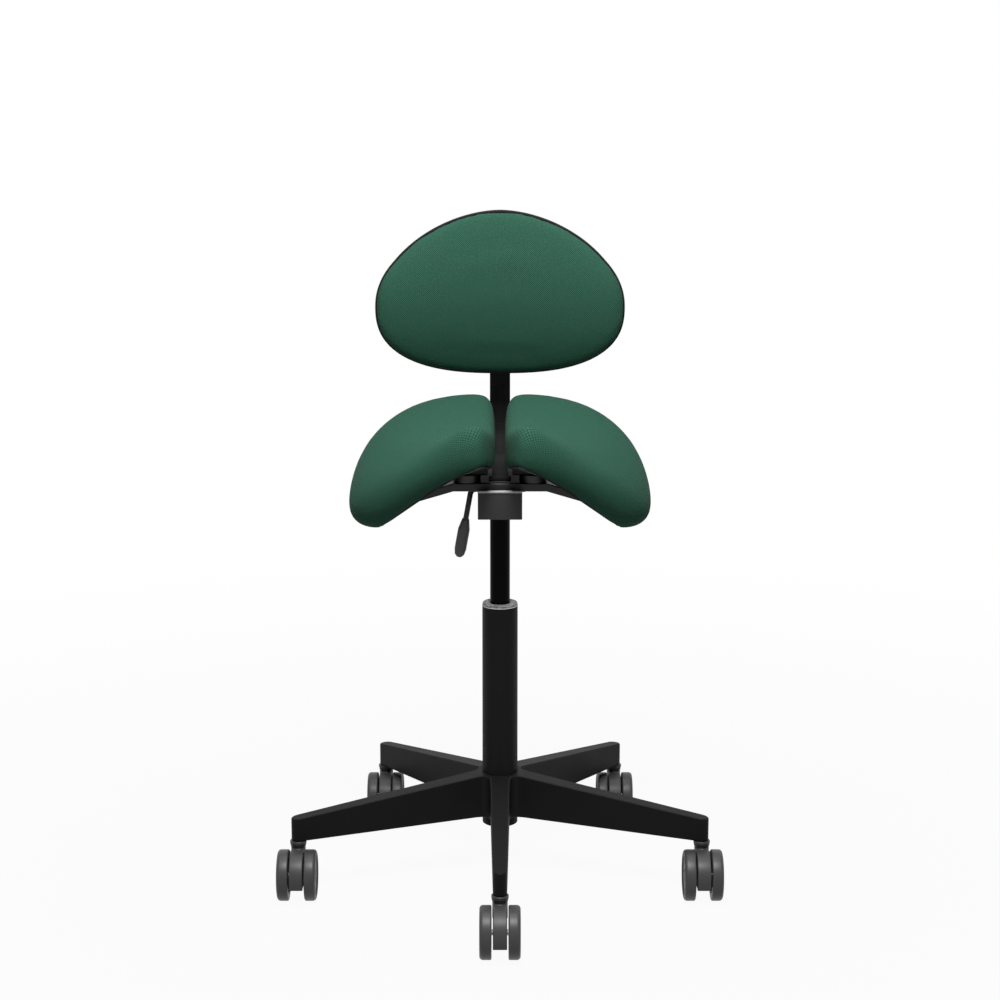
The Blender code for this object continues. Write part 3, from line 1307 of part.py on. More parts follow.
def height_carrier():
    """The sleeve that slides on the bar, with the two cheeks that hold the tilt pin."""
    front = BAR_UPRIGHT_Y - SEAT_GAP
    low = (-CARRIER_HALF_WIDTH, front - CARRIER_WALL, TILT_HEIGHT - CARRIER_HALF_HEIGHT)
    rear = BAR_UPRIGHT_Y + BAR_THICKNESS + SEAT_GAP + CARRIER_WALL
    high = (CARRIER_HALF_WIDTH, rear, TILT_HEIGHT + CARRIER_HALF_HEIGHT)
    carrier = box("height_carrier", low, high, SHELL_PLASTIC)
    soften(carrier, CARRIER_WALL / 3, segments=1)
    near = front - CARRIER_WALL / 2
    round_end = arc((TILT_AXIS_Y, TILT_HEIGHT), TILT_EAR_RADIUS, pi / 2, 1.5 * pi, ARC_SEGMENTS)
    cheek = [(near, TILT_HEIGHT + TILT_EAR_RADIUS)] + round_end + [(near, TILT_HEIGHT - TILT_EAR_RADIUS)]
    for label, side in (("left", -1), ("right", 1)):
        cheek_at = (side * (TILT_EAR_HALF_WIDTH - CARRIER_WALL / 2 + SEAT_GAP), 0, 0)
        join(carrier, prism("cheek_" + label, cheek, CARRIER_WALL, location=cheek_at, across="X"))
    wide = BAR_HALF_WIDTH + RUNNING_GAP
    slot_reach = CARRIER_HALF_HEIGHT + CUT_OVERRUN
    slot_low = (-wide, front, TILT_HEIGHT - slot_reach)
    slot_high = (wide, BAR_UPRIGHT_Y + BAR_THICKNESS + SEAT_GAP, TILT_HEIGHT + slot_reach)
    cut(carrier, box("bar_slot", slot_low, slot_high))
    bore = (TILT_PIN_RADIUS + SEAT_GAP, 4 * TILT_EAR_HALF_WIDTH, None, None, (0, TILT_AXIS_Y, TILT_HEIGHT))
    cut(carrier, drum("pin_bore", *bore, segments=SMALL_SEGMENTS, axis="X"))
    screw = (KNOB_SCREW_RADIUS + RUNNING_GAP, 3 * CARRIER_WALL, None, None, (0, rear, TILT_HEIGHT))
    cut(carrier, drum("screw_bore", *screw, segments=SMALL_SEGMENTS, axis="Y"))
    return rear


def height_knob(carrier_rear):
    """The knob behind the backrest whose screw presses on the bar."""
    start = carrier_rear + SEAT_GAP + KNOB_NECK
    at = (0, start + HEIGHT_KNOB_HEIGHT / 2, TILT_HEIGHT)
    head = (knob_outline(HEIGHT_KNOB_RADIUS), HEIGHT_KNOB_HEIGHT, SHELL_PLASTIC, None, at)
    knob = prism("height_knob", *head)
    soften(knob, KNOB_SCREW_RADIUS / 2, segments=1, angle=radians(60))
    tip = BAR_UPRIGHT_Y + BAR_THICKNESS + SEAT_GAP
    overlap = HEIGHT_KNOB_HEIGHT / 2
    neck = [
        (0, start + overlap),
        (KNOB_NECK_RADIUS, start + overlap),
        (KNOB_NECK_RADIUS, carrier_rear + SEAT_GAP),
        (KNOB_SCREW_RADIUS, carrier_rear + SEAT_GAP),
        (KNOB_SCREW_RADIUS, tip),
        (0, tip),
    ]
    stem = turned("height_knob_stem", neck, None, location=(0, 0, TILT_HEIGHT), segments=SMALL_SEGMENTS)
    stem.rotation_euler = (-pi / 2, 0, 0)
    join(knob, stem)


tilt_axis = empty("backrest_tilt_axis", (0, TILT_AXIS_Y, TILT_HEIGHT), stool)
backrest_shell(tilt_axis)
backrest_pad(tilt_axis)
tilt_bracket(tilt_axis)
height_knob(height_carrier())
pin_length = 2 * (TILT_EAR_HALF_WIDTH + SEAT_GAP + 2 * CARRIER_WALL)
drum("tilt_pin", TILT_PIN_RADIUS, pin_length, BARE_STEEL, tilt_axis, segments=SMALL_SEGMENTS, axis="X")

# The origin goes to the floor below the middle of the stool's bounding box
bpy.context.view_layer.update()
view = bpy.context.evaluated_depsgraph_get()
corners = []
for made in parts.objects:
    if made.type == "MESH":
        seen = made.evaluated_get(view)
        corners += [seen.matrix_world @ vert.co for vert in seen.data.vertices]
middle_x = (min(c.x for c in corners) + max(c.x for c in corners)) / 2
middle_y = (min(c.y for c in corners) + max(c.y for c in corners)) / 2
stool.location = (-middle_x, -middle_y, -min(c.z for c in corners))
bpy.context.view_layer.update()
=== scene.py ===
"""Looks of the saddle stool: cloth over foam, coated metal, moulded plastic, light and camera.

Lengths are in metres, +Z is up and the user faces -Y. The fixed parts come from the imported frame.
"""

import json
from math import cos, pi, radians, sin

import bmesh
import bpy
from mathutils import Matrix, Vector
from mathutils.bvhtree import BVHTree

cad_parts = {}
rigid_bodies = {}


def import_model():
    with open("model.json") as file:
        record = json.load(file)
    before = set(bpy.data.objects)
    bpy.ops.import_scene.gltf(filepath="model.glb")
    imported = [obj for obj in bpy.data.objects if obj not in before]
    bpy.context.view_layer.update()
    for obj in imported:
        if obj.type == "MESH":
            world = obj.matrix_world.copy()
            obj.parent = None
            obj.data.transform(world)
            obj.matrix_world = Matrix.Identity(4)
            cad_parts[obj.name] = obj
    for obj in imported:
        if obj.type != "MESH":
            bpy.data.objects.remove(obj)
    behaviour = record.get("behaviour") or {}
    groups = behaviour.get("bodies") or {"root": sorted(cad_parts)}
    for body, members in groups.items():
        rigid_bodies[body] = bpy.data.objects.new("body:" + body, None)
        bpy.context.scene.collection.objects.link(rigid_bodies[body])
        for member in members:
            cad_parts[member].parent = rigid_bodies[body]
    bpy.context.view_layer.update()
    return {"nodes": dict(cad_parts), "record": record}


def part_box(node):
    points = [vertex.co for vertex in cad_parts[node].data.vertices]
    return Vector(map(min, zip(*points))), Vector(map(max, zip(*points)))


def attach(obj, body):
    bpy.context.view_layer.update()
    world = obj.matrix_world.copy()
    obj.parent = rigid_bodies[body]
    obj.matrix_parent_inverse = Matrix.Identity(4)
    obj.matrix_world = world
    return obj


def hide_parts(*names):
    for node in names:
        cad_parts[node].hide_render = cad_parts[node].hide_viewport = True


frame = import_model()
nodes = frame["nodes"]

# Viewpoint of the photograph, measured from the column's axis
CAMERA_DISTANCE = 3.2275
CAMERA_HEIGHT = 1.2427
CAMERA_PITCH = radians(12.22)
CAMERA_LENS = 85.25
SENSOR_WIDTH = 36.0

# Floor and background
WHITE = (1, 1, 1, 1)
FLOOR_REACH = 6.0
FLOOR_TONE = 0.35
FLOOR_WHITE_SHARE = 0.95
FLOOR_FADE_START = 0.5
FLOOR_FADE_END = 2.0
WORLD_STRENGTH = 0.035

# Finishes
GRAIN_DETAIL = 3.0
GRAIN_ROUGHNESS = 0.55
DRIFT_SIZE = 0.03
SPECK_SIZE = 0.0011
SPECK_PALE_SHARE = 5.0
SPECK_DARK_SHARE = 0.5
SPECK_PALE_END = 0.18
SPECK_DARK_START = 0.60

# Cloth and foam
CLOTH_DARK = (0.007, 0.030, 0.019)
CLOTH_LIGHT = (0.056, 0.180, 0.121)
CLOTH_SHEEN = (0.80, 0.95, 0.90, 1)
FIBRE_SIZE = 0.0012
FIBRE_SHARE = 0.35
WEAVE_TURN = pi / 4
WAVE_RADIANS = 20
THREAD_PITCH = 0.0020
PAD_VOXEL = 0.004
PAD_SLACK = 0.0012
PAD_PRESSURE = 4.0
PAD_FRAMES = 20
PAD_STIFFNESS = 60
PAD_QUALITY = 6
PAD_TRAVEL = 0.0018
PAD_EASE = 18
PAD_EASE_SHARE = 0.5
SWELL_EASE = 30
FREE_FROM_SHELL = 0.026
HELD_AT_SHELL = 0.004
PAD_WRAP = 0.0052
PAD_ROLL = 0.0032
TOUCHING = 0.0015
TIP_HEIGHT = 0.060
TIP_DROOP = 0.0045
SHELL_TUCK = 0.0055
TUCK_REACH = 0.008

# Backrest
EGG_STEPS = 160
EGG_WIDEST_SHARE = 0.42
EGG_LOWER_POWER = 2.5
EGG_UPPER_POWER = 1.81
EGG_FLANK_SHARE = 0.50
EGG_BEND = 0.900
EGG_SHELL_THICKNESS = 0.006
EGG_LIP_WIDTH = 0.0050
EGG_LIP_HEIGHT = 0.004
EGG_FLAT_SHARES = (0.10, 0.45, 0.80)
PAD_SEAT = 0.0003
BACK_CURVE = 0.60
BACK_SWELL = 0.0049
BACK_CROWN = 0.034
# From the rim to the middle: share of the outline, share of the crown
BACK_CROWN_SHARES = [
    (1.0, 0.24),
    (0.992, 0.42),
    (0.965, 0.60),
    (0.91, 0.75),
    (0.78, 0.89),
    (0.50, 0.975),
    (0.15, 1.0),
]

# Rounds, edges and the column
WELD = 0.00001
CORNER_ANGLE = radians(32)
FLAT_ANGLE = radians(0.5)
EDGE_WIDTH = 0.0004
CORNER_STEPS = 5
COLUMN_STEPS = 96
COLUMN_EDGE = 0.0006
TUBE_BORE = 0.0205
PISTON_BORE = 0.0118
PISTON_SHOULDER = 0.004
PISTON_TOP_RADIUS = 0.0130
PISTON_TAPER_FOOT = 0.527
BUSH_PLAY = 0.0004
BUSH_LIFT = 0.0001

# Castors
WHEEL_STEPS = 64
WHEEL_DISH = 0.0022
WHEEL_RECESS = 0.0040
WHEEL_GROOVE = 0.0006
WHEEL_INNER_CORNER = 0.0020
WHEEL_OUTER_CORNER = 0.0048
# Outwards on the inner face: share of the radius, share of the recess
WHEEL_INNER_SHARES = [(0, 1), (0.70, 1), (0.74, 0)]
# Inwards on the outer face: share of the radius, share of the dish, share of the groove
WHEEL_OUTER_SHARES = [
    (0.84, 0.25, 0),
    (0.80, 1, 0),
    (0.66, 1, 0),
    (0.64, 1, 1),
    (0.61, 1, 1),
    (0.59, 1, 0),
    (0, 1, 0),
]
HOOD_WIDTH = 0.0186
HOOD_RADIUS = 0.0345
HOOD_EDGE = 0.0014
HOOD_CUT = 0.0108
NECK_STEPS = 40
NECK_RADIUS = 0.0102
COLLAR_EDGE = 0.0005
COLLAR_HEIGHT = 0.0045
COLLAR_GROOVE = 0.0020

# Small trim and fasteners
SCREW_RADIUS = 0.0045
SCREW_HEIGHT = 0.0024
SCREW_SEAT = 0.0004
SCREW_STEPS = 24
SCREW_KEY_SHARE = 0.45
# From the middle to the rim: share of the radius, share of the height
SCREW_SHARES = [(0, 0.45), (0.45, 0.40), (0.45, 0.96), (0.58, 1), (0.86, 0.72), (1, 0.25)]
BRACKET_SCREW_INSET = 0.008
CAP_RADIUS = 0.009
CAP_HEIGHT = 0.0012
CAP_STEPS = 32
CAP_SHARES = [(0, 1), (0.45, 0.92), (0.80, 0.60), (0.84, 0.30), (0.92, 0.30), (0.96, 0.55), (1, 0.35)]
RIM_WIDTH = 0.0008
RIM_HEIGHT = 0.0004
RIM_PROUD = 0.0002
RIM_STEPS = 64
# Outwards along the rim: share of the width, share of the height
RIM_SHARES = [(1, -1), (1, 0.6), (0.5, 1), (0.1, 0.6)]
FLANGE_THICKNESS = 0.0025
FLANGE_RISE = 0.0052
FLANGE_SUNK = 0.0012
LIP_DEPTH = 0.0036
LIP_HEIGHT = 0.0034
LIP_PROUD = 0.0006
STRIP_ROUND_SHARE = 0.3

# Lamps: name, place from the column's foot, width and depth, energy
LAMPS = [
    ("overhead", (0.0, -1.30, 2.38), (0.8, 0.8), 69),
    ("top", (0.0, 0.3, 2.5), (1.2, 1.2), 13),
]

UP = Vector((0, 0, 1))
COLUMN = sum(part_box("column_tube"), Vector()) / 2


def add(holder, kind, **values):
    """A node of a finish or of the background, with its plain settings."""
    made = holder.node_tree.nodes.new(kind)
    for name, value in values.items():
        if name in made.inputs:
            made.inputs[name].default_value = value
        else:
            setattr(made, name, value)
    return made


def join(holder, source, target):
    holder.node_tree.links.new(source, target)


def bare_finish(name, colour, roughness, metallic=0.0, specular=0.5):
    finish = bpy.data.materials.new(name)
    finish.use_nodes = True
    shader = finish.node_tree.nodes["Principled BSDF"]
    shader.inputs["Base Color"].default_value = (*colour, 1)
    shader.inputs["Roughness"].default_value = roughness
    shader.inputs["Metallic"].default_value = metallic
    shader.inputs["Specular IOR Level"].default_value = specular
    finish.diffuse_color = (*colour, 1)
    return finish, shader


def shades(finish, shader, factor, dark, light):
    """The base colour goes from dark to light with a factor."""
    tones = add(finish, "ShaderNodeValToRGB")
    tones.color_ramp.elements[0].color = (*dark, 1)
    tones.color_ramp.elements[1].color = (*light, 1)
    join(finish, factor, tones.inputs["Fac"])
    join(finish, tones.outputs["Color"], shader.inputs["Base Color"])
    return tones


def relief(finish, shader, height, strength, distance):
    bump = add(finish, "ShaderNodeBump", Strength=strength, Distance=distance)
    join(finish, height, bump.inputs["Height"])
    join(finish, bump.outputs["Normal"], shader.inputs["Normal"])


def grain(finish, size):
    """Noise on the piece's own coordinates, with features of about the size given."""
    place = add(finish, "ShaderNodeTexCoord")
    noise = add(finish, "ShaderNodeTexNoise", Scale=1 / size, Detail=GRAIN_DETAIL, Roughness=GRAIN_ROUGHNESS)
    join(finish, place.outputs["Object"], noise.inputs["Vector"])
    return noise.outputs["Fac"]


def rough_between(finish, shader, factor, low, high):
    spread = add(finish, "ShaderNodeMapRange", **{"To Min": low, "To Max": high})
    join(finish, factor, spread.inputs["Value"])
    join(finish, spread.outputs["Result"], shader.inputs["Roughness"])


def tinted(colour, share):
    return tuple(part * share for part in colour)


def mottled(name, colour, roughness, spread, size, relief_strength, relief_distance, **more):
    """A finish whose colour and roughness drift a little and whose surface has a fine relief."""
    finish, shader = bare_finish(name, colour, roughness, **more)
    drift = grain(finish, DRIFT_SIZE)
    shades(finish, shader, drift, tinted(colour, 1 - spread), tinted(colour, 1 + spread))
    rough_between(finish, shader, drift, roughness * (1 - spread), roughness * (1 + spread))
    relief(finish, shader, grain(finish, size), relief_strength, relief_distance)
    return finish


def green_cloth():
    """A fine plain weave: warp and weft change places from square to square."""
    finish, shader = bare_finish("green_cloth", CLOTH_LIGHT, 0.80, specular=0.05)
    layout = add(finish, "ShaderNodeUVMap", uv_map="cloth")
    bias = add(finish, "ShaderNodeMapping", Rotation=(0, 0, WEAVE_TURN))
    join(finish, layout.outputs["UV"], bias.inputs["Vector"])
    waves = 2 * pi / (WAVE_RADIANS * THREAD_PITCH)
    threads = []
    for direction in ("X", "Y"):
        thread = add(finish, "ShaderNodeTexWave", Scale=waves, wave_type="BANDS", bands_direction=direction)
        join(finish, bias.outputs["Vector"], thread.inputs["Vector"])
        threads.append(thread.outputs["Fac"])
    squares = add(finish, "ShaderNodeTexChecker", Scale=1 / THREAD_PITCH)
    join(finish, bias.outputs["Vector"], squares.inputs["Vector"])
    weave = add(finish, "ShaderNodeMix", data_type="FLOAT")
    join(finish, squares.outputs["Fac"], weave.inputs["Factor"])
    join(finish, threads[0], weave.inputs["A"])
    join(finish, threads[1], weave.inputs["B"])
    fibres = grain(finish, FIBRE_SIZE)
    blend = add(finish, "ShaderNodeMix", data_type="FLOAT", Factor=FIBRE_SHARE)
    join(finish, weave.outputs["Result"], blend.inputs["A"])
    join(finish, fibres, blend.inputs["B"])
    shades(finish, shader, blend.outputs["Result"], CLOTH_DARK, CLOTH_LIGHT)
    relief(finish, shader, weave.outputs["Result"], 0.55, 0.0004)
    shader.inputs["Sheen Weight"].default_value = 0.03
    shader.inputs["Sheen Roughness"].default_value = 0.50
    shader.inputs["Sheen Tint"].default_value = CLOTH_SHEEN
    return finish


def speckled_bush():
    """Dark plastic with pale specks."""
    colour = (0.16, 0.16, 0.16)
    finish, shader = bare_finish("speckled_plastic", colour, 0.6)
    specks = add(finish, "ShaderNodeTexVoronoi", Scale=1 / SPECK_SIZE)
    place = add(finish, "ShaderNodeTexCoord")
    join(finish, place.outputs["Object"], specks.inputs["Vector"])
    pale, dark = tinted(colour, SPECK_PALE_SHARE), tinted(colour, SPECK_DARK_SHARE)
    tones = shades(finish, shader, specks.outputs["Distance"], pale, dark)
    tones.color_ramp.elements[0].position = SPECK_PALE_END
    tones.color_ramp.elements[1].position = SPECK_DARK_START
    relief(finish, shader, specks.outputs["Distance"], 0.2, 0.0002)
    return finish


CLOTH = green_cloth()
BUSH = speckled_bush()
# Name, colour, roughness, drift of both, size of the grain, strength and depth of its relief
COAT = mottled("black_powder_coat", (0.0105, 0.0105, 0.0107), 0.50, 0.12, 0.0009, 0.12, 0.0002, specular=0.06)
POLISHED = mottled("polished_black", (0.0006, 0.0006, 0.0006), 0.14, 0.1, 0.004, 0.02, 0.0001, specular=0.035)
GREY = mottled("satin_grey_coat", (0.036, 0.036, 0.037), 0.40, 0.12, 0.0011, 0.10, 0.0002, specular=0.25)
BAR_COAT = mottled("satin_black_coat", (0.006, 0.006, 0.0063), 0.80, 0.12, 0.0011, 0.08, 0.0002, specular=0.28)
DARK_PLASTIC = mottled("dark_plastic", (0.022, 0.022, 0.023), 0.36, 0.10, 0.0007, 0.10, 0.0001, specular=0.35)
GRIP_PLASTIC = mottled("grip_plastic", (0.200, 0.200, 0.202), 0.50, 0.10, 0.0006, 0.25, 0.0002, specular=0.30)
SHELL = mottled("shell_plastic", (0.018, 0.018, 0.019), 0.46, 0.10, 0.0008, 0.06, 0.0001, specular=0.10)
CASTOR = mottled("castor_plastic", (0.047, 0.047, 0.049), 0.44, 0.08, 0.0008, 0.06, 0.0001, specular=0.36)
WHEEL = mottled("wheel_plastic", (0.044, 0.044, 0.046), 0.42, 0.08, 0.0010, 0.08, 0.0001, specular=0.40)
STEEL = mottled("bright_steel", (0.55, 0.55, 0.56), 0.28, 0.08, 0.0006, 0.05, 0.0001, metallic=1.0)
# Pale grey for the thin rims and lips: a painted highlight along those edges
PAINTED_HIGHLIGHT_TRIM = mottled("painted_highlight_edge", (0.74, 0.74, 0.745), 0.50, 0.08, 0.0008, 0.04, 0.0001)

FINISHES = {
    "star_base": COAT,
    "column_tube": COAT,
    "piston_tube": POLISHED,
    "guide_bush": BUSH,
    "backrest_bar": BAR_COAT,
    "lever_grip": GRIP_PLASTIC,
    "backrest_shell": SHELL,
    "seat_shell_left": SHELL,
    "seat_shell_right": SHELL,
}
GREY_NODES = ("mechanism_box", "socket_plate", "lever_rod", "carrier_plate", "bar_guide", "tilt_bracket")
ENDINGS = {"_housing": CASTOR, "_wheel": WHEEL, "_axle": STEEL, "_stem": STEEL}


def finish_of(name):
    """The finish of a node, by its name or its kind; what has none is plain steel."""
    if name in FINISHES:
        return FINISHES[name]
    if name in GREY_NODES:
        return GREY
    for ending, finish in ENDINGS.items():
        if name.endswith(ending):
            return finish
    if name.startswith("seat_spacer") or name.endswith("_knob") or name == "height_carrier":
        return DARK_PLASTIC
    return STEEL


for name, piece in nodes.items():
    for surface in piece.material_slots:
        surface.material = finish_of(name)


def place_piece(name, work, finish, body):
    """Makes an object of a bmesh, in place, and lets it ride on a body."""
    mesh = bpy.data.meshes.new(name)
    work.to_mesh(mesh)
    work.free()
    mesh.shade_smooth()
    made = bpy.data.objects.new(name, mesh)
    bpy.context.scene.collection.objects.link(made)
    mesh.materials.append(finish)
    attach(made, body)
    return made


def turned(work, profile, steps):
    """Spins (radius, height) points full round the Z axis into a closed skin."""
    verts = [work.verts.new((radius, 0, height)) for radius, height in profile]
    edges = [work.edges.new(pair) for pair in zip(verts, verts[1:])]
    bmesh.ops.spin(
        work, geom=verts + edges, cent=(0, 0, 0), axis=(0, 0, 1), angle=2 * pi, steps=steps, use_merge=True
    )
    bmesh.ops.remove_doubles(work, verts=work.verts, dist=WELD)
    bmesh.ops.recalc_face_normals(work, faces=work.faces)


def set_down(work, place, facing):
    """Turns a piece that was made on the Z axis to face a way, and moves it into place."""
    turn = facing.to_track_quat("Z", "Y").to_matrix()
    bmesh.ops.rotate(work, cent=(0, 0, 0), matrix=turn, verts=work.verts)
    bmesh.ops.translate(work, vec=place, verts=work.verts)


def rounded_turn(radius, height, corner, way):
    """Points of a quarter round from a flat face to the rim, going down (1) or up (-1) on its way."""
    points = []
    for i in range(CORNER_STEPS + 1):
        turn = pi / 2 * i / CORNER_STEPS
        points.append((radius - corner + corner * sin(turn), height - way * (corner - corner * cos(turn))))
    return points


def mark_corners(work):
    """Leaves the edges between faces that meet at a clear angle sharp, and smooths the others."""
    for edge in work.edges:
        edge.smooth = edge.calc_face_angle(0) < CORNER_ANGLE


def only(made):
    """Selects one object alone and makes it the active one."""
    for other in bpy.context.view_layer.objects.selected:
        other.select_set(False)
    made.select_set(True)
    bpy.context.view_layer.objects.active = made


def apply_steps(made):
    """Applies the object's modifiers in their order."""
    only(made)
    for step in list(made.modifiers):
        bpy.ops.object.modifier_apply(modifier=step.name)


def surface_tree(name):
    """A node's surface, for finding the nearest point on it or where a line meets it."""
    work = bmesh.new()
    work.from_mesh(nodes[name].data)
    tree = BVHTree.FromBMesh(work)
    work.free()
    return tree


def freedom(point, tree):
    """0 where the cloth is held at the shell, 1 well away from it."""
    gap = tree.find_nearest(point)[3]
    share = (gap - HELD_AT_SHELL) / (FREE_FROM_SHELL - HELD_AT_SHELL)
    share = max(0.0, min(1.0, share))
    return share * share * (3 - 2 * share)


def evened(mesh, amounts):
    """Evens out an amount given for each point of a mesh with those of its neighbours."""
    beside = [[] for _ in amounts]
    for edge in mesh.edges:
        first, second = edge.vertices
        beside[first].append(second)
        beside[second].append(first)
    for _ in range(SWELL_EASE):
        means = [sum(amounts[i] for i in others) / len(others) for others in beside]
        amounts = [(own + mean) / 2 for own, mean in zip(amounts, means)]
    return amounts


def puff(made, tree):
    """Blows the remeshed cover up a little, holding it where it meets the shell."""
    rest = [(vert.co.copy(), vert.normal.copy()) for vert in made.data.vertices]
    step = made.modifiers.new("cover", "CLOTH")
    step.settings.use_pressure = True
    step.settings.uniform_pressure_force = PAD_PRESSURE
    step.settings.effector_weights.gravity = 0
    step.settings.quality = PAD_QUALITY
    step.settings.tension_stiffness = PAD_STIFFNESS
    step.settings.compression_stiffness = PAD_STIFFNESS
    step.settings.bending_stiffness = PAD_STIFFNESS
    step.point_cache.frame_end = PAD_FRAMES
    for number in range(1, PAD_FRAMES + 1):
        bpy.context.scene.frame_set(number)
    apply_steps(made)
    swells = []
    for vert, (start, outwards) in zip(made.data.vertices, rest):
        swells.append(max(0.0, min(PAD_TRAVEL, (vert.co - start).dot(outwards))))
    swells = evened(made.data, swells)
    for vert, swell, (start, outwards) in zip(made.data.vertices, swells, rest):
        vert.co = start + outwards * swell * freedom(start, tree)
    bpy.context.scene.frame_set(1)


def lay_out_cloth(made, tree):
    """Unwraps the cover as one panel, cut along its underside, with the layout's unit one metre."""
    mesh = made.data
    held = [freedom(vert.co, tree) == 0 for vert in mesh.vertices]
    work = bmesh.new()
    work.from_mesh(mesh)
    work.verts.ensure_lookup_table()
    under = {face.index: all(held[vert.index] for vert in face.verts) for face in work.faces}
    for edge in work.edges:
        edge.seam = len({under[face.index] for face in edge.link_faces}) > 1
    work.to_mesh(mesh)
    work.free()
    mesh.uv_layers.new(name="cloth")
    only(made)
    bpy.ops.object.mode_set(mode="EDIT")
    bpy.ops.mesh.select_all(action="SELECT")
    bpy.ops.uv.unwrap(method="ANGLE_BASED", margin=0.0)
    bpy.ops.object.mode_set(mode="OBJECT")
    layout = mesh.uv_layers["cloth"].uv
    real = flat = 0.0
    for face in mesh.polygons:
        if all(held[i] for i in face.vertices):
            continue
        corners = [layout[i].vector for i in face.loop_indices]
        real += face.area
        flat += abs(sum(a.cross(b) for a, b in zip(corners, corners[1:] + corners[:1]))) / 2
    scale = (real / flat) ** 0.5
    for spot in layout:
        spot.vector *= scale


def lies_on(face, tree):
    return all(tree.find_nearest(vert.co)[3] < TOUCHING for vert in face.verts)


def rim_ways(work, tree):
    """For each point of the fold round a pad's underside: the ways down over the shell's edge and inwards."""
    ways = {}
    for vert in work.verts:
        if tree.find_nearest(vert.co)[3] > TOUCHING:
            continue
        under = [face for face in vert.link_faces if lies_on(face, tree)]
        if under and len(under) < len(vert.link_faces):
            down = sum((face.normal for face in under), Vector()).normalized()
            middle = sum((face.calc_center_median() for face in under), Vector()) / len(under)
            inwards = middle - vert.co
            inwards -= down * inwards.dot(down)
            ways[vert] = (down, inwards.normalized())
    return ways


def solid_of(name):
    """A node's shape with its loose triangles joined."""
    work = bmesh.new()
    work.from_mesh(nodes[name].data)
    bmesh.ops.remove_doubles(work, verts=work.verts, dist=WELD)
    work.normal_update()
    return work


def seat_form(node, tree):
    """The pad's plain solid, a little slimmer, with its fold drawn down over the shell's edge.

    The flap's tip is drawn down a little too.
    """
    work = solid_of(node)
    ways = rim_ways(work, tree)
    for vert in work.verts:
        vert.co -= vert.normal * PAD_SLACK * freedom(vert.co, tree)
    for vert, (down, inwards) in ways.items():
        vert.co += down * PAD_WRAP + inwards * PAD_ROLL
    foot = min(vert.co.z for vert in work.verts)
    for vert in work.verts:
        share = max(0.0, 1 - (vert.co.z - foot) / TIP_HEIGHT)
        vert.co.z -= TIP_DROOP * share
    return work


def tucked_shell(name, pad):
    """A seat shell with its edge tucked in under the pad."""
    tree = surface_tree(name)
    around = solid_of(pad)
    rim = [(vert.co.copy(), inwards) for vert, (_, inwards) in rim_ways(around, tree).items()]
    around.free()
    made = refined(name)
    for vert in made.data.vertices:
        spot, inwards = min(rim, key=lambda row: (row[0] - vert.co).length)
        away = (spot - vert.co).length
        if away < TUCK_REACH:
            vert.co += inwards * SHELL_TUCK * (1 - away / TUCK_REACH) ** 0.5


def egg_point(turn, inset, half_width, low, high):
    """A point on the backrest's outline, as its x, its widest line's height and the rise over that line.

    The outline is a rounded box below its widest line and a rounded triangle above.
    """
    across, up = cos(turn), sin(turn)
    widest = low + (high - low) * EGG_WIDEST_SHARE
    if up < 0:
        power = EGG_LOWER_POWER
        rise = widest - low - inset
    else:
        power = 2 + (EGG_UPPER_POWER - 2) * min(1, up / EGG_FLANK_SHARE)
        rise = high - widest - inset
    scale = (abs(across) ** power + abs(up) ** power) ** (-1 / power)
    return (half_width - inset) * across * scale, widest, rise * up * scale


def egg_form(rings):
    """A closed form from (share of the outline, inset, depth) rings, from the back to the front."""
    low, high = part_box("backrest_shell")
    middle = (low + high) / 2
    half_width = (high.x - low.x) / 2
    work = bmesh.new()
    loops = []
    for share, inset, depth in rings:
        ring = []
        for i in range(EGG_STEPS):
            x, widest, rise = egg_point(2 * pi * i / EGG_STEPS, inset, half_width, low.z, high.z)
            x *= share
            y = high.y - depth - x * x / (2 * EGG_BEND)
            ring.append(work.verts.new((middle.x + x, y, widest + rise * share)))
        loops.append([work.edges.new((ring[i - 1], ring[i])) for i in range(EGG_STEPS)])
    for first, second in zip(loops, loops[1:]):
        bmesh.ops.bridge_loops(work, edges=first + second)
    for end in (loops[0], loops[-1]):
        bmesh.ops.contextual_create(work, geom=end)
    bmesh.ops.recalc_face_normals(work, faces=work.faces)
    return work


def backrest_shell():
    """The moulded shell with its lip, rounder than the plain solid between its corners."""
    lip = EGG_LIP_WIDTH
    corner = lip / 4
    thick = EGG_SHELL_THICKNESS
    front = thick + EGG_LIP_HEIGHT
    back = [(share, 0, 0) for share in EGG_FLAT_SHARES]
    seat = [(share, lip, thick) for share in reversed(EGG_FLAT_SHARES)]
    work = egg_form(back + [
        (1.0, lip, 0),
        (1.0, corner * 2, corner * 0.4),
        (1.0, corner, corner),
        (1.0, corner * 0.3, corner * 2),
        (1.0, 0, thick),
        (1.0, corner * 0.3, front - corner * 0.7),
        (1.0, corner, front),
        (1.0, lip - corner, front),
        (1.0, lip, front - corner),
        (1.0, lip, thick),
    ] + seat)
    mark_corners(work)
    name = "backrest_shell"
    made = place_piece(name + "_finish", work, SHELL, body_of(name))
    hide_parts(name)


